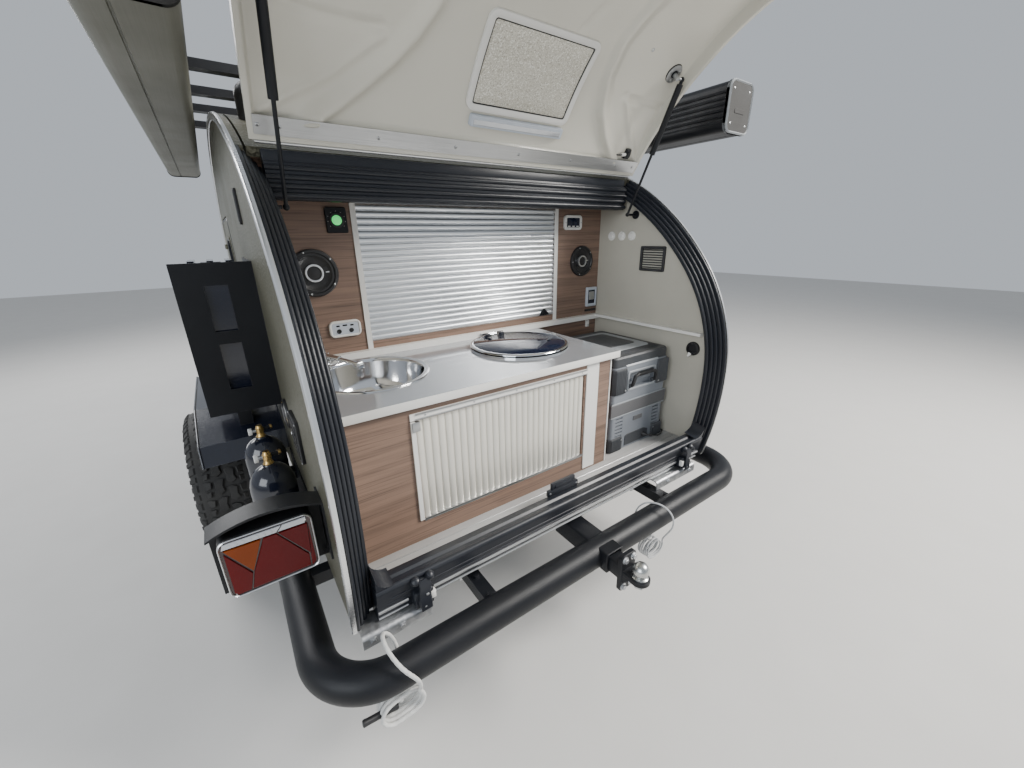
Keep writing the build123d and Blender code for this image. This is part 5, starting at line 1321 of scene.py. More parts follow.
def buildWallFittings():
    bm = bmesh.new()
    names = ["blackPlastic", "trim", "steel", "powder", "white", "bluePlastic", "greenGlow", "smoked",
             "rubber"]
    y = wall["face"]
    for x, z, radius in wall["speakers"]:
        addSpeaker(bm, x, z, radius)
    place = wall["dial"]
    addFace(bm, rectAt(place, 0.065, 0.077, 0.005, 4), y, 0.009, 0.0015, 3)
    addLathe(bm, [(0.023, 0), (0.023, 0.011), (0.0215, 0.0128), (0.0165, 0.013), (0.0155, 0.01)],
             (place[0], y, place[1]), rearward, 40, 0, True)
    addLathe(bm, [(0.015, 0.006), (0.015, 0.0125), (0.0125, 0.0138), (0.004, 0.014), (0, 0.014)],
             (place[0], y, place[1]), rearward, 32, 6)
    for k in range(9):
        a = math.radians(-40 + 32.5 * k)
        x, z = place[0] + 0.0272 * math.cos(a), place[1] + 0.0272 * math.sin(a)
        addBlock(bm, (x - 0.0008, y - 0.0098, z - 0.0008), (x + 0.0008, y - 0.0085, z + 0.0008), 0.0003, 4)
    place = wall["sockets"]
    addFace(bm, rectAt(place, 0.105, 0.056, 0.017), y, 0.01, 0.0022, 4, rectAt(place, 0.089, 0.04, 0.006))
    addFace(bm, rectAt(place, 0.0895, 0.0405, 0.006), y, 0.0078, 0.0006, 5)
    for x in (-0.5395, -0.4985):
        addLathe(bm, [(0.0078, 0), (0.0078, 0.0092), (0.006, 0.0098), (0.0052, 0.008), (0, 0.008)],
                 (x, y, 1.1545), rearward, 24, 0)
    for x, z, w in ((-0.5415, 1.1725, 0.012), (-0.5185, 1.1735, 0.016), (-0.495, 1.1725, 0.012)):
        addFace(bm, rectAt((x, z), w, 0.0055, 0.002, 3), y - 0.0075, 0.0012, 0.0003, 3)
    place = wall["display"]
    addFace(bm, rectAt(place, 0.108, 0.063, 0.016), y, 0.01, 0.002, 4, rectAt(place, 0.078, 0.04, 0.005))
    addFace(bm, rectAt(place, 0.079, 0.041, 0.005), y, 0.0085, 0.0006, 7)
    for x in (0.51, 0.536, 0.562):
        addFace(bm, rectAt((x, 1.4925), 0.014, 0.005, 0.0015, 3), y - 0.008, 0.0022, 0.0006, 4)
    for x in (0.4895, 0.5825):
        addBolt(bm, (x, y - 0.0098, place[1]), rearward, 0.003, 0.0012, "dome", 2)
    place = wall["thermostat"]
    addFace(bm, rectAt(place, 0.068, 0.094, 0.004, 4), y, 0.011, 0.002, 5,
            rectAt(place, 0.046, 0.066, 0.003, 4))
    addFace(bm, rectAt(place, 0.047, 0.067, 0.003, 4), y, 0.0085, 0.0006, 7)
    addFace(bm, rectAt((place[0], 1.168), 0.034, 0.04, 0.002, 4), y - 0.008, 0.0016, 0.0004, 2)
    addBlock(bm, (0.64, y - 0.006, 1.0905), (0.714, y + 0.001, 1.1015), 0.0015, 0)
    addBlock(bm, (0.648, y - 0.01, 1.012), (0.668, y, 1.046), 0.002, 4)
    addRod(bm, (0.658, y - 0.016, 1.022), (0.658, y - 0.008, 1.022), 0.004, 0.0006, 16, 2)
    wedge = [(0.35, 1.1035), (0.404, 1.1035), (0.398, 1.114), (0.376, 1.134), (0.362, 1.12)]
    addFace(bm, wedge, -0.9625, 0.007, 0.001, 3)
    for y in (-1.043, -1.104, -1.162):
        addLathe(bm, [(0.02, 0), (0.02, 0.003), (0.0185, 0.0052), (0.013, 0.0062), (0.012, 0.0085),
                      (0.01, 0.0105), (0, 0.011)], (wall["side"], y, 1.448), leftward, 32, 4)
    shape, hole = (rectAt((1.2845, 1.354), w, h, r, 4) for w, h, r in ((0.127, 0.104, 0.006),
                                                                       (0.105, 0.082, 0.004)))
    addPlate(bm, shape, (wall["side"], 0, 0), rearward, upward, 0.009, 0.002, 0, hole)
    turn = Matrix.Rotation(math.radians(28), 4, "Y")
    for k in range(8):
        z = 1.318 + 0.0103 * k
        addBlock(bm, (0.7125, -1.336, z - 0.0011), (0.7205, -1.233, z + 0.0011), 0.0005, 0, 1, turn)
    addLathe(bm, [(0.029, 0), (0.029, 0.006), (0.027, 0.0105), (0.021, 0.0118), (0.0195, 0.008),
                  (0.0185, 0.003), (0, 0.003)], (wall["side"], -1.53, 1.004), leftward, 40, 0)
    addLathe(bm, [(0, 0), (0.0075, 0), (0.0075, 0.006), (0.0055, 0.01), (0.0045, 0.016), (0, 0.016)],
             (0.708, -1.524, 0.985), (-0.5, 0.2, -0.8), 18, 4)
    for y, z, r in ((-1.405, 0.868, 0.011), (-1.325, 0.732, 0.012)):
        addLathe(bm, [(0, 0), (r, 0), (r, 0.002), (r * 0.6, 0.0045), (0, 0.005)], (0.7262, y, z),
                 leftward, 24, 8)
    return finishPiece(bm, "wallFittings", names, instead=["wall_fittings"])


# Sink with its folding tap, and the hob's glass lid
sink = {"middle": (-0.51, -1.185), "tapFoot": (-0.604, -1.008, 1.053), "elbow": (-0.604, -1.008, 1.0895),
        "tip": (-0.545, -1.19, 1.0915)}


def buildSink():
    bm = bmesh.new()
    x, y = sink["middle"]
    bowl = [(0.185, 1.0532), (0.185, 1.0555), (0.1835, 1.0572), (0.18, 1.058), (0.1745, 1.0576),
            (0.1725, 1.056), (0.17, 1.0565), (0.1672, 1.0555), (0.1655, 1.052), (0.1645, 1.044),
            (0.16, 1.01), (0.153, 0.975), (0.142, 0.95), (0.122, 0.935), (0.09, 0.929), (0.05, 0.9265),
            (0.038, 0.9255), (0.036, 0.924), (0.036, 0.9232), (0.09, 0.9262), (0.1235, 0.9325),
            (0.1445, 0.9485), (0.1555, 0.9745), (0.1625, 1.01), (0.1665, 1.044), (0.169, 1.0532)]
    addLathe(bm, bowl, (x, y, 0), upward, 96, 0, True)
    addLathe(bm, [(0, 0.9232), (0.0362, 0.9232), (0.0362, 0.9262), (0.033, 0.9275), (0.028, 0.9262),
                  (0.012, 0.925), (0, 0.925)], (x, y, 0), upward, 40, 0)
    for k in range(8):
        a = math.radians(45 * k)
        addBolt(bm, (x + 0.019 * math.cos(a), y + 0.019 * math.sin(a), 0.9262), upward, 0.0034,
                0.0006, "dome", 1)
    foot = sink["tapFoot"]
    addLathe(bm, [(0, 0), (0.024, 0), (0.024, 0.002), (0.0215, 0.0045), (0.015, 0.006), (0.0135, 0.008),
                  (0.0135, 0.03), (0.015, 0.032), (0.015, 0.04), (0.0125, 0.044), (0, 0.045)], foot,
             upward, 36, 0)
    elbow, tip = Vector(sink["elbow"]), Vector(sink["tip"])
    along = (tip - elbow).normalized()
    addRod(bm, elbow, elbow + along * 0.085, 0.0078, 0.0015, 28, 0)
    addRod(bm, elbow + along * 0.08, elbow + along * 0.094, 0.01, 0.002, 28, 0)
    addRod(bm, elbow + along * 0.09, tip, 0.0068, 0.001, 28, 0)
    turn = Vector(rearward).rotation_difference(along).to_matrix().to_4x4()
    addBlock(bm, (tip.x - 0.013, tip.y - 0.013, tip.z - 0.016),
             (tip.x + 0.013, tip.y + 0.013, tip.z + 0.0095), 0.0045, 0, 4, turn)
    addRod(bm, (tip.x, tip.y, tip.z - 0.024), (tip.x, tip.y, tip.z - 0.014), 0.0075, 0.001, 24, 0)
    addRod(bm, (foot[0] + 0.014, foot[1], 1.068), (foot[0] + 0.048, foot[1] + 0.004, 1.072), 0.0042,
           0.0015, 18, 0)
    return finishPiece(bm, "sinkAndTap", ["chrome", "blackPlastic"], instead=["sink"], angle=42)


def buildHobLid():
    bm = bmesh.new()
    x, y = 0.065, -1.195
    addLathe(bm, [(0, 1.0632), (0.1755, 1.0632), (0.1765, 1.064), (0.1765, 1.0676), (0.1755, 1.0684),
                  (0, 1.0686)], (x, y, 0), upward, 96, 0)
    addLathe(bm, [(0.1772, 1.063), (0.1772, 1.0672), (0.1785, 1.0688), (0.1815, 1.0692), (0.186, 1.0682),
                  (0.1885, 1.066), (0.1895, 1.063)], (x, y, 0), upward, 96, 1, True)
    addLathe(bm, [(0.1762, 1.0628), (0.1762, 1.068), (0.1772, 1.0684), (0.1774, 1.0628)], (x, y, 0),
             upward, 96, 2, True)
    for dx, dy in ((-0.062, 0.118), (0.108, -0.052)):
        addLathe(bm, [(0.0075, 1.0675), (0.0075, 1.0705), (0.006, 1.0718), (0, 1.072)],
                 (x + dx, y + dy, 0), upward, 24, 2)
    for dx in (-0.034, 0.034):
        addBlock(bm, (x + dx - 0.011, -1.024, 1.0625), (x + dx + 0.011, -0.995, 1.0715), 0.002, 2)
    return finishPiece(bm, "hobGlassLid", ["smoked", "chrome", "rubber"],
                       "hob_cover", ["hob_lid"], angle=42)


def buildCounterEdges():
    bm = bmesh.new()
    addBlock(bm, (-0.7195, -1.4836, 1.0282), (0.319, -1.4818, 1.0528), 0.0006, 0)
    addBlock(bm, (0.3176, -1.483, 1.0282), (0.3192, -0.992, 1.0528), 0.0006, 0)
    for x in (-0.455, -0.3, -0.145, 0.01, 0.14):
        addBolt(bm, (x, -1.4712, 0.9985), rearward, 0.003, 0.0014, "dome", 1)
    addBlock(bm, (-0.485, -1.4745, 0.989), (0.164, -1.4705, 0.9925), 0.001, 1)
    addBlock(bm, (-0.485, -1.4745, 1.0035), (0.164, -1.4705, 1.0072), 0.001, 1)
    addBlock(bm, (-0.497, -1.4772, 0.956), (-0.474, -1.466, 0.984), 0.002, 1)
    addBlock(bm, (-0.486, -1.4705, 0.657), (0.16, -1.46, 0.666), 0.001, 1)
    addBlock(bm, (0.287, -1.4695, 0.593), (0.292, -1.466, 1.028), 0.001, 0)
    addBlock(bm, (-0.719, -1.566, 0.59), (0.719, -1.468, 0.5925), 0.001, 2)
    addTube(bm, [(x * 0.1, -1.5, 0.593) for x in range(-7, 8)], 0.0014, 1)
    return finishPiece(bm, "counterEdges", ["white", "steel", "floorVinyl"])


# Latches, the striker, channel bolts and the tow ball
def buildLatches():
    bm = bmesh.new()
    for side in (-1, 1):
        x = side * 0.575
        addBlock(bm, (x - 0.026, -1.654, 0.546), (x + 0.026, -1.612, 0.598), 0.006, 0, 3)
        addBlock(bm, (x - 0.018, -1.66, 0.55), (x + 0.018, -1.65, 0.578), 0.004, 0, 3)
        strap = [(x, -1.653, 0.636), (x + 0.003, -1.659, 0.62), (x, -1.66, 0.6),
                 (x - 0.002, -1.661, 0.58), (x, -1.6615, 0.56), (x + 0.001, -1.66, 0.542)]
        addTube(bm, strap, [(-0.014, -0.0022), (0.014, -0.0022), (0.016, 0.0), (0.014, 0.0022),
                            (-0.014, 0.0022), (-0.016, 0.0)], 0, up=rearward)
        for dx in (-0.017, 0.017):
            addLathe(bm, [(0, 0), (0.008, 0.0015), (0.0115, 0.006), (0.012, 0.012), (0.01, 0.018),
                          (0.005, 0.0215), (0, 0.022)], (x + dx, -1.646, 0.628),
                     (0.25 * math.copysign(1, dx), -0.45, 1.0), 24, 0)
        addRod(bm, (x - 0.031, -1.646, 0.63), (x + 0.031, -1.646, 0.63), 0.0065, 0.001, 20, 0)
        addBolt(bm, (x + 0.005, -1.6632, 0.593), rearward, 0.0046, 0.0022, "dome", 1)
        addBolt(bm, (x - 0.003, -1.6622, 0.556), rearward, 0.0036, 0.002, "dome", 1)
        addBlock(bm, (x + side * -0.024 - 0.007, -1.656, 0.562),
                 (x + side * -0.024 + 0.007, -1.642, 0.586), 0.002, 2)
    addBlock(bm, (-0.109, -1.592, 0.6505), (0.022, -1.58, 0.672), 0.002, 0)
    addBlock(bm, (-0.093, -1.5915, 0.67), (0.008, -1.5805, 0.6945), 0.002, 0)
    addBlock(bm, (-0.08, -1.5945, 0.676), (-0.01, -1.59, 0.686), 0.001, 0)
    for x in (-0.1, 0.014):
        addBolt(bm, (x, -1.5918, 0.661), rearward, 0.0036, 0.002, "dome", 1)
    return finishPiece(bm, "latchSet", ["rubber", "steel", "white"], instead=["latches"])


def buildChannelBolts():
    bm = bmesh.new()
    for x, z in ((-0.64, 0.5225), (0.612, 0.5225), (0.47, 0.5225), (-0.715, 0.5225)):
        addBolt(bm, (x, -1.6502, z), rearward, 0.0068, 0.0055, "hex", 0)
    for x, y in ((-0.4, -1.61), (0.4, -1.61), (-0.4, -1.69), (0.4, -1.69)):
        addBolt(bm, (x, y, 0.5053), upward, 0.008, 0.006, "hex", 1)
    for side in (-1, 1):
        for y in (-1.455, -1.47):
            addBolt(bm, (side * 0.762, y + 0.004, 0.69), (side * 0.2, 1, 0), 0.004, 0.003, "hex", 1)
    return finishPiece(bm, "frameBolts", ["galvanised", "powder"])


hitch = {"ball": (0, -1.89, 0.524), "radius": 0.025}


def buildHitch():
    bm = bmesh.new()
    x, y, z = hitch["ball"]
    addFace(bm, filleted([(-0.036, 0.452), (0.036, 0.452), (0.036, 0.524), (-0.036, 0.524)], 0.006, 3),
            -1.55, 0.242, 0.0015, 0, filleted([(-0.028, 0.458), (0.028, 0.458), (0.028, 0.518),
                                               (-0.028, 0.518)], 0.004, 3))
    addFace(bm, filleted([(-0.027, 0.4585), (0.027, 0.4585), (0.027, 0.5115), (-0.027, 0.5115)], 0.005,
                         3), -1.79, 0.052, 0.002, 0)
    addFace(bm, filleted([(-0.032, 0.553), (-0.032, 0.419), (0.032, 0.419), (0.032, 0.553)], 0.013, 5),
            -1.832, 0.014, 0.0022, 0)
    for dx in (-0.018, 0.018):
        for boltZ in (0.436, 0.536):
            addBolt(bm, (dx, -1.8462, boltZ), rearward, 0.0085, 0.007, "hex", 2)
    tongue = [(-0.028, -1.844), (0.028, -1.844)]
    for k in range(13):
        a = math.radians(-15 * k)
        tongue.append((0.03 * math.cos(a), y + 0.03 * math.sin(a)))
    addPlate(bm, tongue, (0, 0, 0.484), rightward, forward, 0.016, 0.0035, 0)
    rib = [(1.846, 0.486), (1.846, 0.456), (1.874, 0.486)]
    for dx in (-0.026, 0.026):
        addPlate(bm, rib, (dx - 0.003, 0, 0), rearward, upward, -0.006, 0.001, 0)
    addLathe(bm, [(0, 0.466), (0.019, 0.466), (0.02, 0.4675), (0.02, 0.4835), (0, 0.484)], (x, y, 0),
             upward, 6, 2)
    addLathe(bm, [(0.024, 0.499), (0.024, 0.501), (0.0215, 0.503), (0.018, 0.5045), (0.0145, 0.505),
                  (0.0125, 0.499)], (x, y, 0), upward, 48, 1, True)
    ball = [(0.0118, 0.4995), (0.0118, 0.501)]
    for k in range(17):
        a = math.radians(-62 + 9.5 * k)
        ball.append((max(0.0, hitch["radius"] * math.cos(a)), z + hitch["radius"] * math.sin(a)))
    ball[-1] = (0.0, z + hitch["radius"])
    addLathe(bm, [(0, 0.4995)] + ball, (x, y, 0), upward, 56, 1)
    return finishPiece(bm, "towHitch", ["powder", "ballSteel", "galvanised"],
                       instead=["tow_hitch"], angle=38)


# Gas bottles, the fuel can's cap and clamp, and the wall's inlets
def buildGasBottles():
    bm = bmesh.new()
    names = ["glossBlack", "brass", "white", "steel", "blackPlastic"]
    for y in (-1.11, -0.884):
        x = -0.835
        shell = [(0, 0.504), (0.05, 0.504), (0.052, 0.5002), (0.056, 0.5002), (0.0585, 0.506),
                 (0.0635, 0.514), (0.065, 0.528), (0.065, 0.618), (0.0645, 0.62), (0.0645, 0.624),
                 (0.065, 0.626), (0.065, 0.73), (0.0635, 0.745), (0.058, 0.764), (0.048, 0.781),
                 (0.035, 0.793), (0.024, 0.799), (0.018, 0.802), (0.0165, 0.806), (0, 0.8065)]
        addLathe(bm, shell, (x, y, 0), upward, 64, 0)
        addLathe(bm, [(0, 0.804), (0.015, 0.804), (0.0155, 0.808), (0.012, 0.812), (0.0105, 0.822),
                      (0.0125, 0.824), (0.0125, 0.838), (0.01, 0.841), (0.0085, 0.8485), (0, 0.8495)],
                 (x, y, 0), upward, 24, 1)
        addRod(bm, (x - 0.009, y, 0.83), (x - 0.026, y, 0.83), 0.0068, 0.001, 20, 3)
        addLathe(bm, [(0, 0), (0.012, 0), (0.0128, 0.002), (0.0128, 0.01), (0.011, 0.012), (0, 0.0122)],
                 (x - 0.023, y, 0.83), leftward, 10, 2)
        addRod(bm, (x + 0.008, y + 0.004, 0.83), (x + 0.032, y + 0.01, 0.83), 0.006, 0.001, 20, 4)
        addLathe(bm, [(0, 0), (0.0085, 0.001), (0.009, 0.006), (0.007, 0.009), (0, 0.0095)],
                 (x + 0.03, y + 0.01, 0.83), (1, 0.2, 0), 6, 1)
    return finishPiece(bm, "gasBottles", names, instead=["gas_bottles"])


def buildCanFittings():
    bm = bmesh.new()
    addLathe(bm, [(0.0305, 1.352), (0.0315, 1.354), (0.0315, 1.372), (0.029, 1.3735), (0.027, 1.3735),
                  (0.027, 1.352)], (-0.855, -0.617, 0), upward, 40, 0, True)
    addTube(bm, [(-0.882, -0.65, 1.362), (-0.892, -0.64, 1.371), (-0.896, -0.617, 1.3735),
                 (-0.892, -0.594, 1.371), (-0.882, -0.584, 1.362)], 0.0028, 0)
    addBlock(bm, (-0.899, -0.63, 1.366), (-0.889, -0.604, 1.379), 0.003, 0)
    for x, y in shifted(circlePoints(0.0285, 24), -0.855, -0.617):
        addBlock(bm, (x - 0.0014, y - 0.0014, 1.374), (x + 0.0014, y + 0.0014, 1.3842), 0.0006, 1)
    for y in (-0.895, -0.564):
        addTube(bm, [(-0.855, y, 0.93 + 0.042 * k) for k in range(10)], 0.0022, 1)
    for x in (-0.925, -0.785):
        for z in (0.965, 1.33):
            addBolt(bm, (x, -0.9068, z), rearward, 0.0065, 0.0045, "hex", 2)
    return finishPiece(bm, "canFittings", ["chrome", "glossBlack", "powder"])


def buildInlets():
    bm = bmesh.new()
    names = ["blackPlastic", "chrome", "smoked", "powder"]
    slot = roundedRect(0.03, 0.1, 0.013, 6)
    addSide(bm, shifted(slot, -0.905, 1.55), -1, wallX + 0.0002, 0.0076, 0.002, 0,
            [(u * 0.62 - 0.905, v * 0.86 + 1.55) for u, v in slot])
    for k in range(7):
        addBlock(bm, (-0.756, -0.914, 1.515 + 0.0112 * k), (-0.75, -0.896, 1.5185 + 0.0112 * k), 0.001, 0)
    outer = rectAt((-1.25, 0.93), 0.12, 0.13, 0.01, 5)
    inner = rectAt((-1.25, 0.93), 0.096, 0.106, 0.006, 5)
    addSide(bm, outer, -1, wallX, 0.01, 0.0025, 0, inner)
    addSide(bm, inner, -1, wallX, 0.012, 0.002, 3)
    for z in (0.905, 0.93, 0.955):
        addBlock(bm, (-0.7638, -1.29, z - 0.003), (-0.761, -1.23, z + 0.003), 0.001, 0)
    addLathe(bm, [(0, 0), (0.0095, 0), (0.0095, 0.0015), (0.006, 0.002), (0.0055, 0.001), (0, 0.001)],
             (-0.7615, -1.2125, 0.93), leftward, 24, 1)
    for y in (-1.306, -1.194):
        for z in (0.871, 0.989):
            addBolt(bm, (-0.7598, y, z), leftward, 0.0032, 0.0014, "dome", 1)
    addLathe(bm, [(0, 0), (0.0495, 0), (0.05, 0.003), (0.048, 0.0075), (0.0425, 0.009), (0.041, 0.007),
                  (0.039, 0.007), (0.0375, 0.011), (0.033, 0.013), (0.012, 0.0135), (0, 0.0136)],
             (-wallX, -1.05, 0.93), leftward, 48, 0)
    addLathe(bm, [(0.0445, 0.0078), (0.0445, 0.0094), (0.042, 0.0098), (0.0405, 0.008)],
             (-wallX, -1.05, 0.93), leftward, 48, 1, True)
    addBlock(bm, (-0.7639, -1.053, 0.905), (-0.7625, -1.047, 0.955), 0.001, 1)
    return finishPiece(bm, "wallInlets", names, instead=["side_inlets"])


# The lid's rivets, strut plates and lamp bracket
lidBits = {"rivets": (-0.691, -0.643, -0.395, -0.153, 0.09, 0.329, 0.574, 0.676), "stripAngle": 118.8,
           "plates": 0.632, "screw": (0.469, 0.421), "stud": (-1.376, 1.973), "bracket": (0.08, 0.628)}


def lidTurned(u, v, x=0.0):
    return Vector((x, u * math.cos(lidTurn) + v * math.sin(lidTurn),
                   -u * math.sin(lidTurn) + v * math.cos(lidTurn)))


def nearestOnLid(y, z, inset):
    return min((k * 0.002 for k in range(900)),
               key=lambda s: (lidPoint(0, s, inset) - Vector((0, y, z))).length)


def buildLidBits():
    bm = bmesh.new()
    a = math.radians(lidBits["stripAngle"])
    inward = lidTurned(-math.cos(a), -math.sin(a)).normalized()
    r = seatRadius + 0.003
    hinge = Vector((0, hingeY, hingeZ))
    for x in lidBits["rivets"]:
        point = hinge + lidTurned(seatCentre[0] + r * math.cos(a), seatCentre[1] + r * math.sin(a), x)
        addBolt(bm, point, inward, 0.0048, 0.0024, "dome", 0)
        addBolt(bm, point + inward * 0.0012, inward, 0.002, 0.0016, "dome", 1)
    s = nearestOnLid(*lidBits["stud"], 0.007)
    normal = (lidPoint(0, s, 0.01) - lidPoint(0, s, 0.007)).normalized()
    for side in (-1, 1):
        centre = lidPoint(side * lidBits["plates"], s, 0.0066)
        addLathe(bm, [(0, 0), (0.0308, 0), (0.0312, 0.0015), (0.0306, 0.004), (0.0285, 0.0052),
                      (0.013, 0.0056), (0.011, 0.0085), (0, 0.009)], centre, normal, 44, 2)
        x, y, z = basisFor(normal)
        for k in range(3):
            t = math.radians(40 + 120 * k)
            addBolt(bm, centre + normal * 0.0052 + (x * math.cos(t) + y * math.sin(t)) * 0.0205, normal,
                    0.0042, 0.0022, "dome", 0)
    screw = lidPoint(*lidBits["screw"], 0.0068)
    up = (lidPoint(*lidBits["screw"], 0.01) - screw).normalized()
    addLathe(bm, [(0, 0), (0.0058, 0), (0.0058, 0.0012), (0.0035, 0.0022), (0.003, 0.0014), (0, 0.0014)],
             screw, up, 20, 0)
    s, x = lidBits["bracket"]
    base = lidPoint(x, s, lidShape["skin"] + swageHeight(x, s) - 0.0006)
    normal = (lidPoint(x, s, 0.06) - lidPoint(x, s, 0.05)).normalized()
    along = (lidPoint(x, s + 0.01, 0.02) - lidPoint(x, s, 0.02)).normalized()
    side = along.cross(normal)
    shape = [(-0.013, -0.016), (0.013, -0.016), (0.013, 0.018), (0.008, 0.022), (-0.013, 0.02)]
    addPlate(bm, shape, base, side, along, 0.012, 0.002, 2)
    addPlate(bm, [(p[0] * 0.7, p[1] * 0.5) for p in shape], base + normal * 0.01, side, along, 0.008,
             0.002, 2)
    across = Vector(leftward)
    plug = base + normal * 0.009 + across * 0.011
    addRod(bm, plug, plug + across * 0.02 - along * 0.003, 0.0062, 0.0015, 20, 3)
    lead = []
    for k in range(6):
        drop = along * (0.002 + 0.0016 * k) + normal * (0.0006 * k * k)
        lead.append(plug + across * (0.016 + 0.012 * k) - drop)
    addTube(bm, lead, 0.003, 4)
    finishes = ["steel", "blackPlastic", "powder", "white", "blackPlastic"]
    return finishPiece(bm, "lidBits", finishes, "lid")


buildWallFittings()
buildSink()
buildHobLid()
buildCounterEdges()
print("stage: galley fittings")
buildLatches()
buildChannelBolts()
buildHitch()
buildGasBottles()
buildCanFittings()
buildInlets()
buildLidBits()
print("stage: outside fittings")


# Awning cases beside the roof: a seamed case, a ribbed back and capped ends
awning = {"x": 0.8775, "z": 1.8925, "halfWide": 0.0775, "halfTall": 0.0825, "corner": 0.028,
          "ends": (-1.472, 0.862), "cap": 0.017}


def awningSection(side):
    wide, tall, r = awning["halfWide"], awning["halfTall"], awning["corner"]
    points = []

    def corner(cu, cw, start):
        for k in range(9):
            a = math.radians(start + 11.25 * k)
            points.append((cu * (wide - r) + r * math.cos(a), cw * (tall - r) + r * math.sin(a)))

    corner(1, 1, 0)
    for u in (0.0285, 0.0045, -0.0195, -0.0435):
        points.extend([(u + 0.0045, tall), (u + 0.0035, tall - 0.007), (u - 0.0035, tall - 0.007),
                       (u - 0.0045, tall)])
    corner(-1, 1, 90)
    for w in (0.038, 0.019, 0.0, -0.019, -0.038):
        points.extend([(-wide, w + 0.005), (-wide + 0.004, w + 0.003), (-wide + 0.004, w - 0.003),
                       (-wide, w - 0.005)])
    corner(-1, -1, 180)
    points.extend([(0.0165, -tall), (0.018, -tall + 0.004), (0.021, -tall + 0.004), (0.0225, -tall)])
    corner(1, -1, 270)
    points.extend([(wide, -0.032), (wide - 0.004, -0.03), (wide - 0.004, -0.027), (wide, -0.025)])
    return [(side * (awning["x"] + u), awning["z"] + w) for u, w in points]


def buildAwnings():
    bm = bmesh.new()
    wide, tall = 2 * awning["halfWide"] + 0.004, 2 * awning["halfTall"] + 0.006
    cap = 5
    for side, case, rim in ((-1, 0, 5), (1, 2, 3)):
        x, z = side * awning["x"], awning["z"]
        y0, y1 = awning["ends"]
        addRings(bm, [[(u, y, w) for u, w in awningSection(side)] for y in (y0, y1)], case)
        inner = side * (awning["x"] - awning["halfWide"])
        low, high = sorted((inner - side * 0.001, inner + side * 0.004))
        for w in (-0.0475, -0.0285, -0.0095, 0.0095, 0.0285, 0.0475):
            addBlock(bm, (low, y0 + 0.002, z + w - 0.0035), (high, y1 - 0.002, z + w + 0.0035), 0.001, 2)
        addBlock(bm, (x + side * 0.03 - 0.004, y0 + 0.004, z + 0.0815),
                 (x + side * 0.03 + 0.016, y1 - 0.004, z + 0.0838), 0.0008, 1)
        outline, hole = roundedRect(wide, tall, 0.03, 8), roundedRect(wide - 0.016, tall - 0.016, 0.022, 8)
        thick = awning["cap"]
        for y, way in ((y0 + 0.001, 1), (y1 - 0.001, -1)):
            addPlate(bm, outline, (x, y, z), rightward, upward, way * (thick - 0.0035), 0.003, cap)
            addPlate(bm, outline, (x, y, z), rightward, upward, way * thick, 0.004, rim, hole)
            for du, dw in ((-0.052, 0.055), (0.052, 0.055), (0.052, -0.055), (-0.052, -0.055)):
                addBolt(bm, (x + du, y - way * (thick - 0.0036), z + dw), (0, -way, 0), 0.0042, 0.0018,
                        "dome", 4)
            addPlate(bm, roundedRect(0.07, 0.016, 0.006, 4), (x, y, z - 0.012), rightward, upward,
                     way * (thick - 0.0022), 0.001, cap)
    names = ["awningGrey", "trim", "powder", "coolerPale", "steel", "tyre"]
    return finishPiece(bm, "awningCases", names, instead=["awnings"])


# Roof bars' rubber strips, end plugs and clamp bolts, and the dome's seam
roof = {"bars": (-0.71, -0.43, -0.18, 0.12), "top": 1.962, "feet": 0.6, "dome": (-0.65, -0.8)}


def buildRoofBits():
    bm = bmesh.new()
    for y in roof["bars"]:
        addBlock(bm, (-0.775, y - 0.0055, roof["top"] - 0.001),
                 (0.775, y + 0.0055, roof["top"] + 0.0018), 0.0008, 0)
        for side in (-1, 1):
            low, high = sorted((side * 0.7945, side * 0.801))
            addBlock(bm, (low, y - 0.021, roof["top"] - 0.0258), (high, y + 0.021, roof["top"] + 0.0008),
                     0.0035, 1, 3)
            for dx in (-0.02, 0.02):
                addBolt(bm, (side * roof["feet"] + dx, y - 0.02, roof["top"] - 0.0125), rearward,
                        0.005, 0.004, "hex", 2)
                addBolt(bm, (side * roof["feet"] + dx, y + 0.02, roof["top"] - 0.0125), forward, 0.005,
                        0.004, "hex", 2)
    x, y = roof["dome"]
    for z, radius in ((1.86, 0.0444), (1.812, 0.0446)):
        addLathe(bm, [(radius - 0.002, -0.002), (radius, -0.0015), (radius, 0.0015),
                      (radius - 0.002, 0.002)], (x, y, z), upward, 48, 1, True)
    return finishPiece(bm, "roofBits", ["rubber", "blackPlastic", "steel"])


# Door seals, window rubbers, lock plates and hinge screws
door = {"outline": [(0.085, 0.9), (0.3, 0.65), (0.734, 0.65), (0.734, 1.56), (0.085, 1.56)],
        "middle": (0.43, 1.13), "window": (0.43, 1.29), "handle": (0.1225, 1.25), "lock": 1.162}


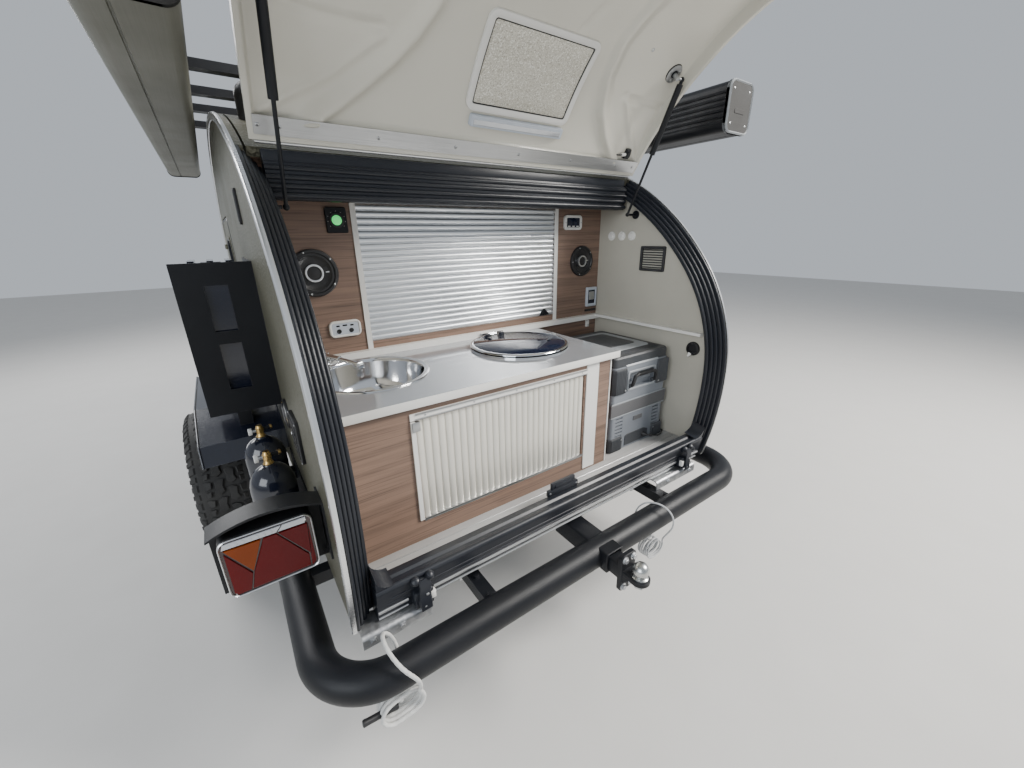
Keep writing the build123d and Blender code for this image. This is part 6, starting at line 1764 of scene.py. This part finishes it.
def buildDoorBits(side, name, body):
    bm = bmesh.new()
    v, w = door["middle"]
    outer, inner = (filleted([(v + (y - v) * share, w + (z - w) * share) for y, z in door["outline"]],
                             0.058, 8) for share in (0.996, 0.978))
    addSide(bm, outer, side, wallX - 0.0008, 0.0024, 0.0012, 0, inner)
    outer, inner = (rectAt(door["window"], *shape, 10)
                    for shape in ((0.434, 0.344, 0.077), (0.408, 0.318, 0.064)))
    addSide(bm, outer, side, wallX - 0.011, 0.0162, 0.004, 0, inner)
    y, z = door["handle"]
    addSide(bm, rectAt((y, z - 0.012), 0.036, 0.2, 0.016), side, wallX - 0.0005, 0.003, 0.0012, 1)
    addLathe(bm, [(0, 0), (0.0105, 0), (0.0108, 0.002), (0.0095, 0.0055), (0.007, 0.0062), (0, 0.0062)],
             (side * (wallX + 0.002), y, door["lock"]), (side, 0, 0), 28, 2)
    addSide(bm, rectAt((y, door["lock"]), 0.0022, 0.009, 0.001, 3), side, wallX + 0.0075, 0.0012, 0.0003)
    for dz in (0.08, -0.105):
        addBolt(bm, (side * (wallX + 0.0022), y, z + dz), (side, 0, 0), 0.003, 0.0012, "dome", 2)
    for low in (0.77, 1.4):
        for y, dz in ((0.718, 0.006), (0.718, 0.022), (0.702, 0.014)):
            addBolt(bm, (side * wallX, y, low + dz), (side, 0, 0), 0.0036, 0.002, "dome", 2)
    return finishPiece(bm, name, ["rubber", "blackPlastic", "steel"], body)


# Mattress: quilted in squares by displacement, with a piped edge
quilt = {"half": 0.7, "ends": (-0.935, 0.99), "z": (0.59, 0.69), "corner": 0.034, "square": 0.14,
         "seam": 0.013, "deep": 0.011, "fade": 0.05}


def toSeam(value):
    squares = value / quilt["square"]
    return abs(squares - round(squares)) * quilt["square"]


def buildMattress():
    (y0, y1), (z0, z1) = quilt["ends"], quilt["z"]
    half, r, count = quilt["half"], quilt["corner"], 110
    middle, tall = (z0 + z1) / 2, (z1 - z0) / 2
    loop = roundedRect(2 * half, 2 * tall, r, 6, (80, 1))
    rows = []
    for j in range(count + 1):
        y = y0 + (y1 - y0) * j / count
        edge = min(y - y0, y1 - y)
        shrink = r - math.sqrt(max(0.0, r * r - max(0.0, r - edge) ** 2))
        row = []
        for x, z in loop:
            inward = shrink
            if abs(z) > tall - 0.001:
                seam = math.exp(-(min(toSeam(x), toSeam(y)) / quilt["seam"]) ** 2)
                fade = smoothStep((half - abs(x)) / quilt["fade"]) * smoothStep(edge / quilt["fade"])
                inward += quilt["deep"] * seam * fade
            row.append((x - math.copysign(min(shrink, 0.03), x), y,
                        middle + z - math.copysign(min(inward, abs(z)), z)))
        rows.append(row)
    bm = bmesh.new()
    addRings(bm, rows)
    for z in (z1 - 0.016, z0 + 0.016):
        outline = rectAt((0, (y0 + y1) / 2), 2 * half - 0.008, y1 - y0 - 0.008, 0.03)
        addTube(bm, [(x, y, z) for x, y in outline], 0.0052, 1, True)
    piece = finishPiece(bm, "mattressPad", ["mattress", "ropeGrey"], instead=["mattress"], angle=60)
    return piece


# Fender beads and bolts, the coupling's grip and bolts, and the jockey wheel's clamp and tread
fender = {"line": [(-0.782, 0.69), (-0.75, 0.76), (-0.53, 0.83), (-0.03, 0.83), (0.19, 0.76),
                   (0.222, 0.69)], "edge": 1.0268}


def buildRunningBits():
    bm = bmesh.new()
    for side in (-1, 1):
        for (ay, az), (by, bz) in zip(fender["line"], fender["line"][1:]):
            addRod(bm, (side * fender["edge"], ay, az - 0.0005),
                   (side * fender["edge"], by, bz - 0.0005), 0.0038, 0.0008, 16, 0)
        for y in (-0.48, -0.28, -0.08):
            addBolt(bm, (side * 0.785, y, 0.83), upward, 0.0062, 0.0045, "hex", 1)
        for y in (1.86, 1.935):
            addBolt(bm, (side * 0.0378, y, 0.52), (side, 0, 0), 0.0085, 0.007, "hex", 2)
    addRod(bm, (0, 1.84, 0.6833), (0, 1.811, 0.7284), 0.0118, 0.003, 28, 3)
    for k in range(6):
        a = Vector((0, 1.837, 0.688)).lerp(Vector((0, 1.814, 0.7237)), k / 5)
        addRod(bm, a, a + Vector((0, -0.0016, 0.0025)), 0.0128, 0.0005, 28, 3)
    for dx in (-0.028, 0.028):
        addBolt(bm, (0.215 + dx * 0.5, 1.611, 0.5 + abs(dx)), rearward, 0.0055, 0.0045, "hex", 2)
    return finishPiece(bm, "runningBits", ["glossBlack", "steel", "galvanised", "rubber"])


def buildJockeyTread():
    bm = bmesh.new()
    x, y, z = 0.215, 1.605, 0.105
    for offset in (-0.016, -0.006, 0.006, 0.016):
        addLathe(bm, [(0.103, -0.0026), (0.1048, -0.0018), (0.1048, 0.0018), (0.103, 0.0026)],
                 (x + offset, y, z), rightward, 64, 0, True)
    for side in (-1, 1):
        addLathe(bm, [(0, 0), (0.014, 0), (0.014, 0.0015), (0.011, 0.003), (0, 0.0032)],
                 (x + side * 0.0266, y, z), (side, 0, 0), 28, 1)
    return finishPiece(bm, "jockeyTread", ["caster", "galvanised"], "jockey_roller")


buildAwnings()
buildRoofBits()
buildDoorBits(-1, "doorBitsLeft", "side_door_left")
buildDoorBits(1, "doorBitsRight", "side_door_right")
buildMattress()
buildRunningBits()
buildJockeyTread()
print("stage: roof, doors, mattress and running gear")

# Camera, floor and studio light
camera = {"place": (-0.846, -2.455, 1.46), "yaw": 34.75, "pitch": 20.02, "roll": -0.82, "focal": 409.4,
          "wide": 1024}
yaw, pitch, roll = (math.radians(camera[k]) for k in ("yaw", "pitch", "roll"))
ahead = Vector((math.sin(yaw) * math.cos(pitch), math.cos(yaw) * math.cos(pitch), -math.sin(pitch)))
level = Vector((math.cos(yaw), -math.sin(yaw), 0.0))
upright = level.cross(ahead)
right = level * math.cos(roll) + upright * math.sin(roll)
above = upright * math.cos(roll) - level * math.sin(roll)
cameraData = bpy.data.cameras.new("photoCamera")
cameraData.sensor_width = 36.0
cameraData.lens = camera["focal"] * 36.0 / camera["wide"]
cameraData.clip_start = 0.02
cameraObject = bpy.data.objects.new("photoCamera", cameraData)
scene.collection.objects.link(cameraObject)
turned = Matrix((right, above, -ahead)).transposed().to_4x4()
cameraObject.matrix_world = Matrix.Translation(camera["place"]) @ turned
scene.camera = cameraObject

studio = {"floorSize": 30.0, "floorColour": (0.58, 0.57, 0.55), "sky": 0.58, "keyPower": 720.0,
          "fillPower": 120.0, "rimPower": 260.0}
floorMesh = bmesh.new()
bmesh.ops.create_grid(floorMesh, x_segments=4, y_segments=4, size=studio["floorSize"] / 2)
floorData = bpy.data.meshes.new("studioFloor")
floorMesh.to_mesh(floorData)
floorMesh.free()
floorData.materials.append(makeLook("paleFloor", colour=studio["floorColour"],
                                    second=tuple(c * 0.97 for c in studio["floorColour"]), rough=0.7,
                                    roughest=0.85, dust=0.0, fine=40.0, height=0.0003))
floorObject = bpy.data.objects.new("studioFloor", floorData)
floorObject.location.z = -0.001
scene.collection.objects.link(floorObject)

world = bpy.data.worlds.new("studioSky")
scene.world = world
world.use_nodes = True
world.node_tree.nodes["Background"].inputs["Color"].default_value = (0.86, 0.92, 1.0, 1.0)
world.node_tree.nodes["Background"].inputs["Strength"].default_value = studio["sky"]


def addLight(name, place, target, size, power, colour=(1.0, 1.0, 1.0)):
    data = bpy.data.lights.new(name, "AREA")
    data.shape = "RECTANGLE"
    data.size, data.size_y = size
    data.energy = power
    data.color = colour
    light = bpy.data.objects.new(name, data)
    light.location = place
    light.rotation_euler = (Vector(target) - Vector(place)).to_track_quat("-Z", "Y").to_euler()
    scene.collection.objects.link(light)


addLight("keyLight", (3.8, -4.4, 4.6), (0, -0.9, 1.0), (2.0, 2.0), studio["keyPower"], (1.0, 0.97, 0.92))
addLight("fillLight", (-4.2, -3.4, 2.6), (-0.3, -0.8, 1.0), (3.0, 2.4), studio["fillPower"], (0.9, 0.95, 1.0))
addLight("rimLight", (-2.6, 3.6, 4.4), (0, 0.6, 1.2), (3.0, 3.0), studio["rimPower"])
print("stage: camera and light")
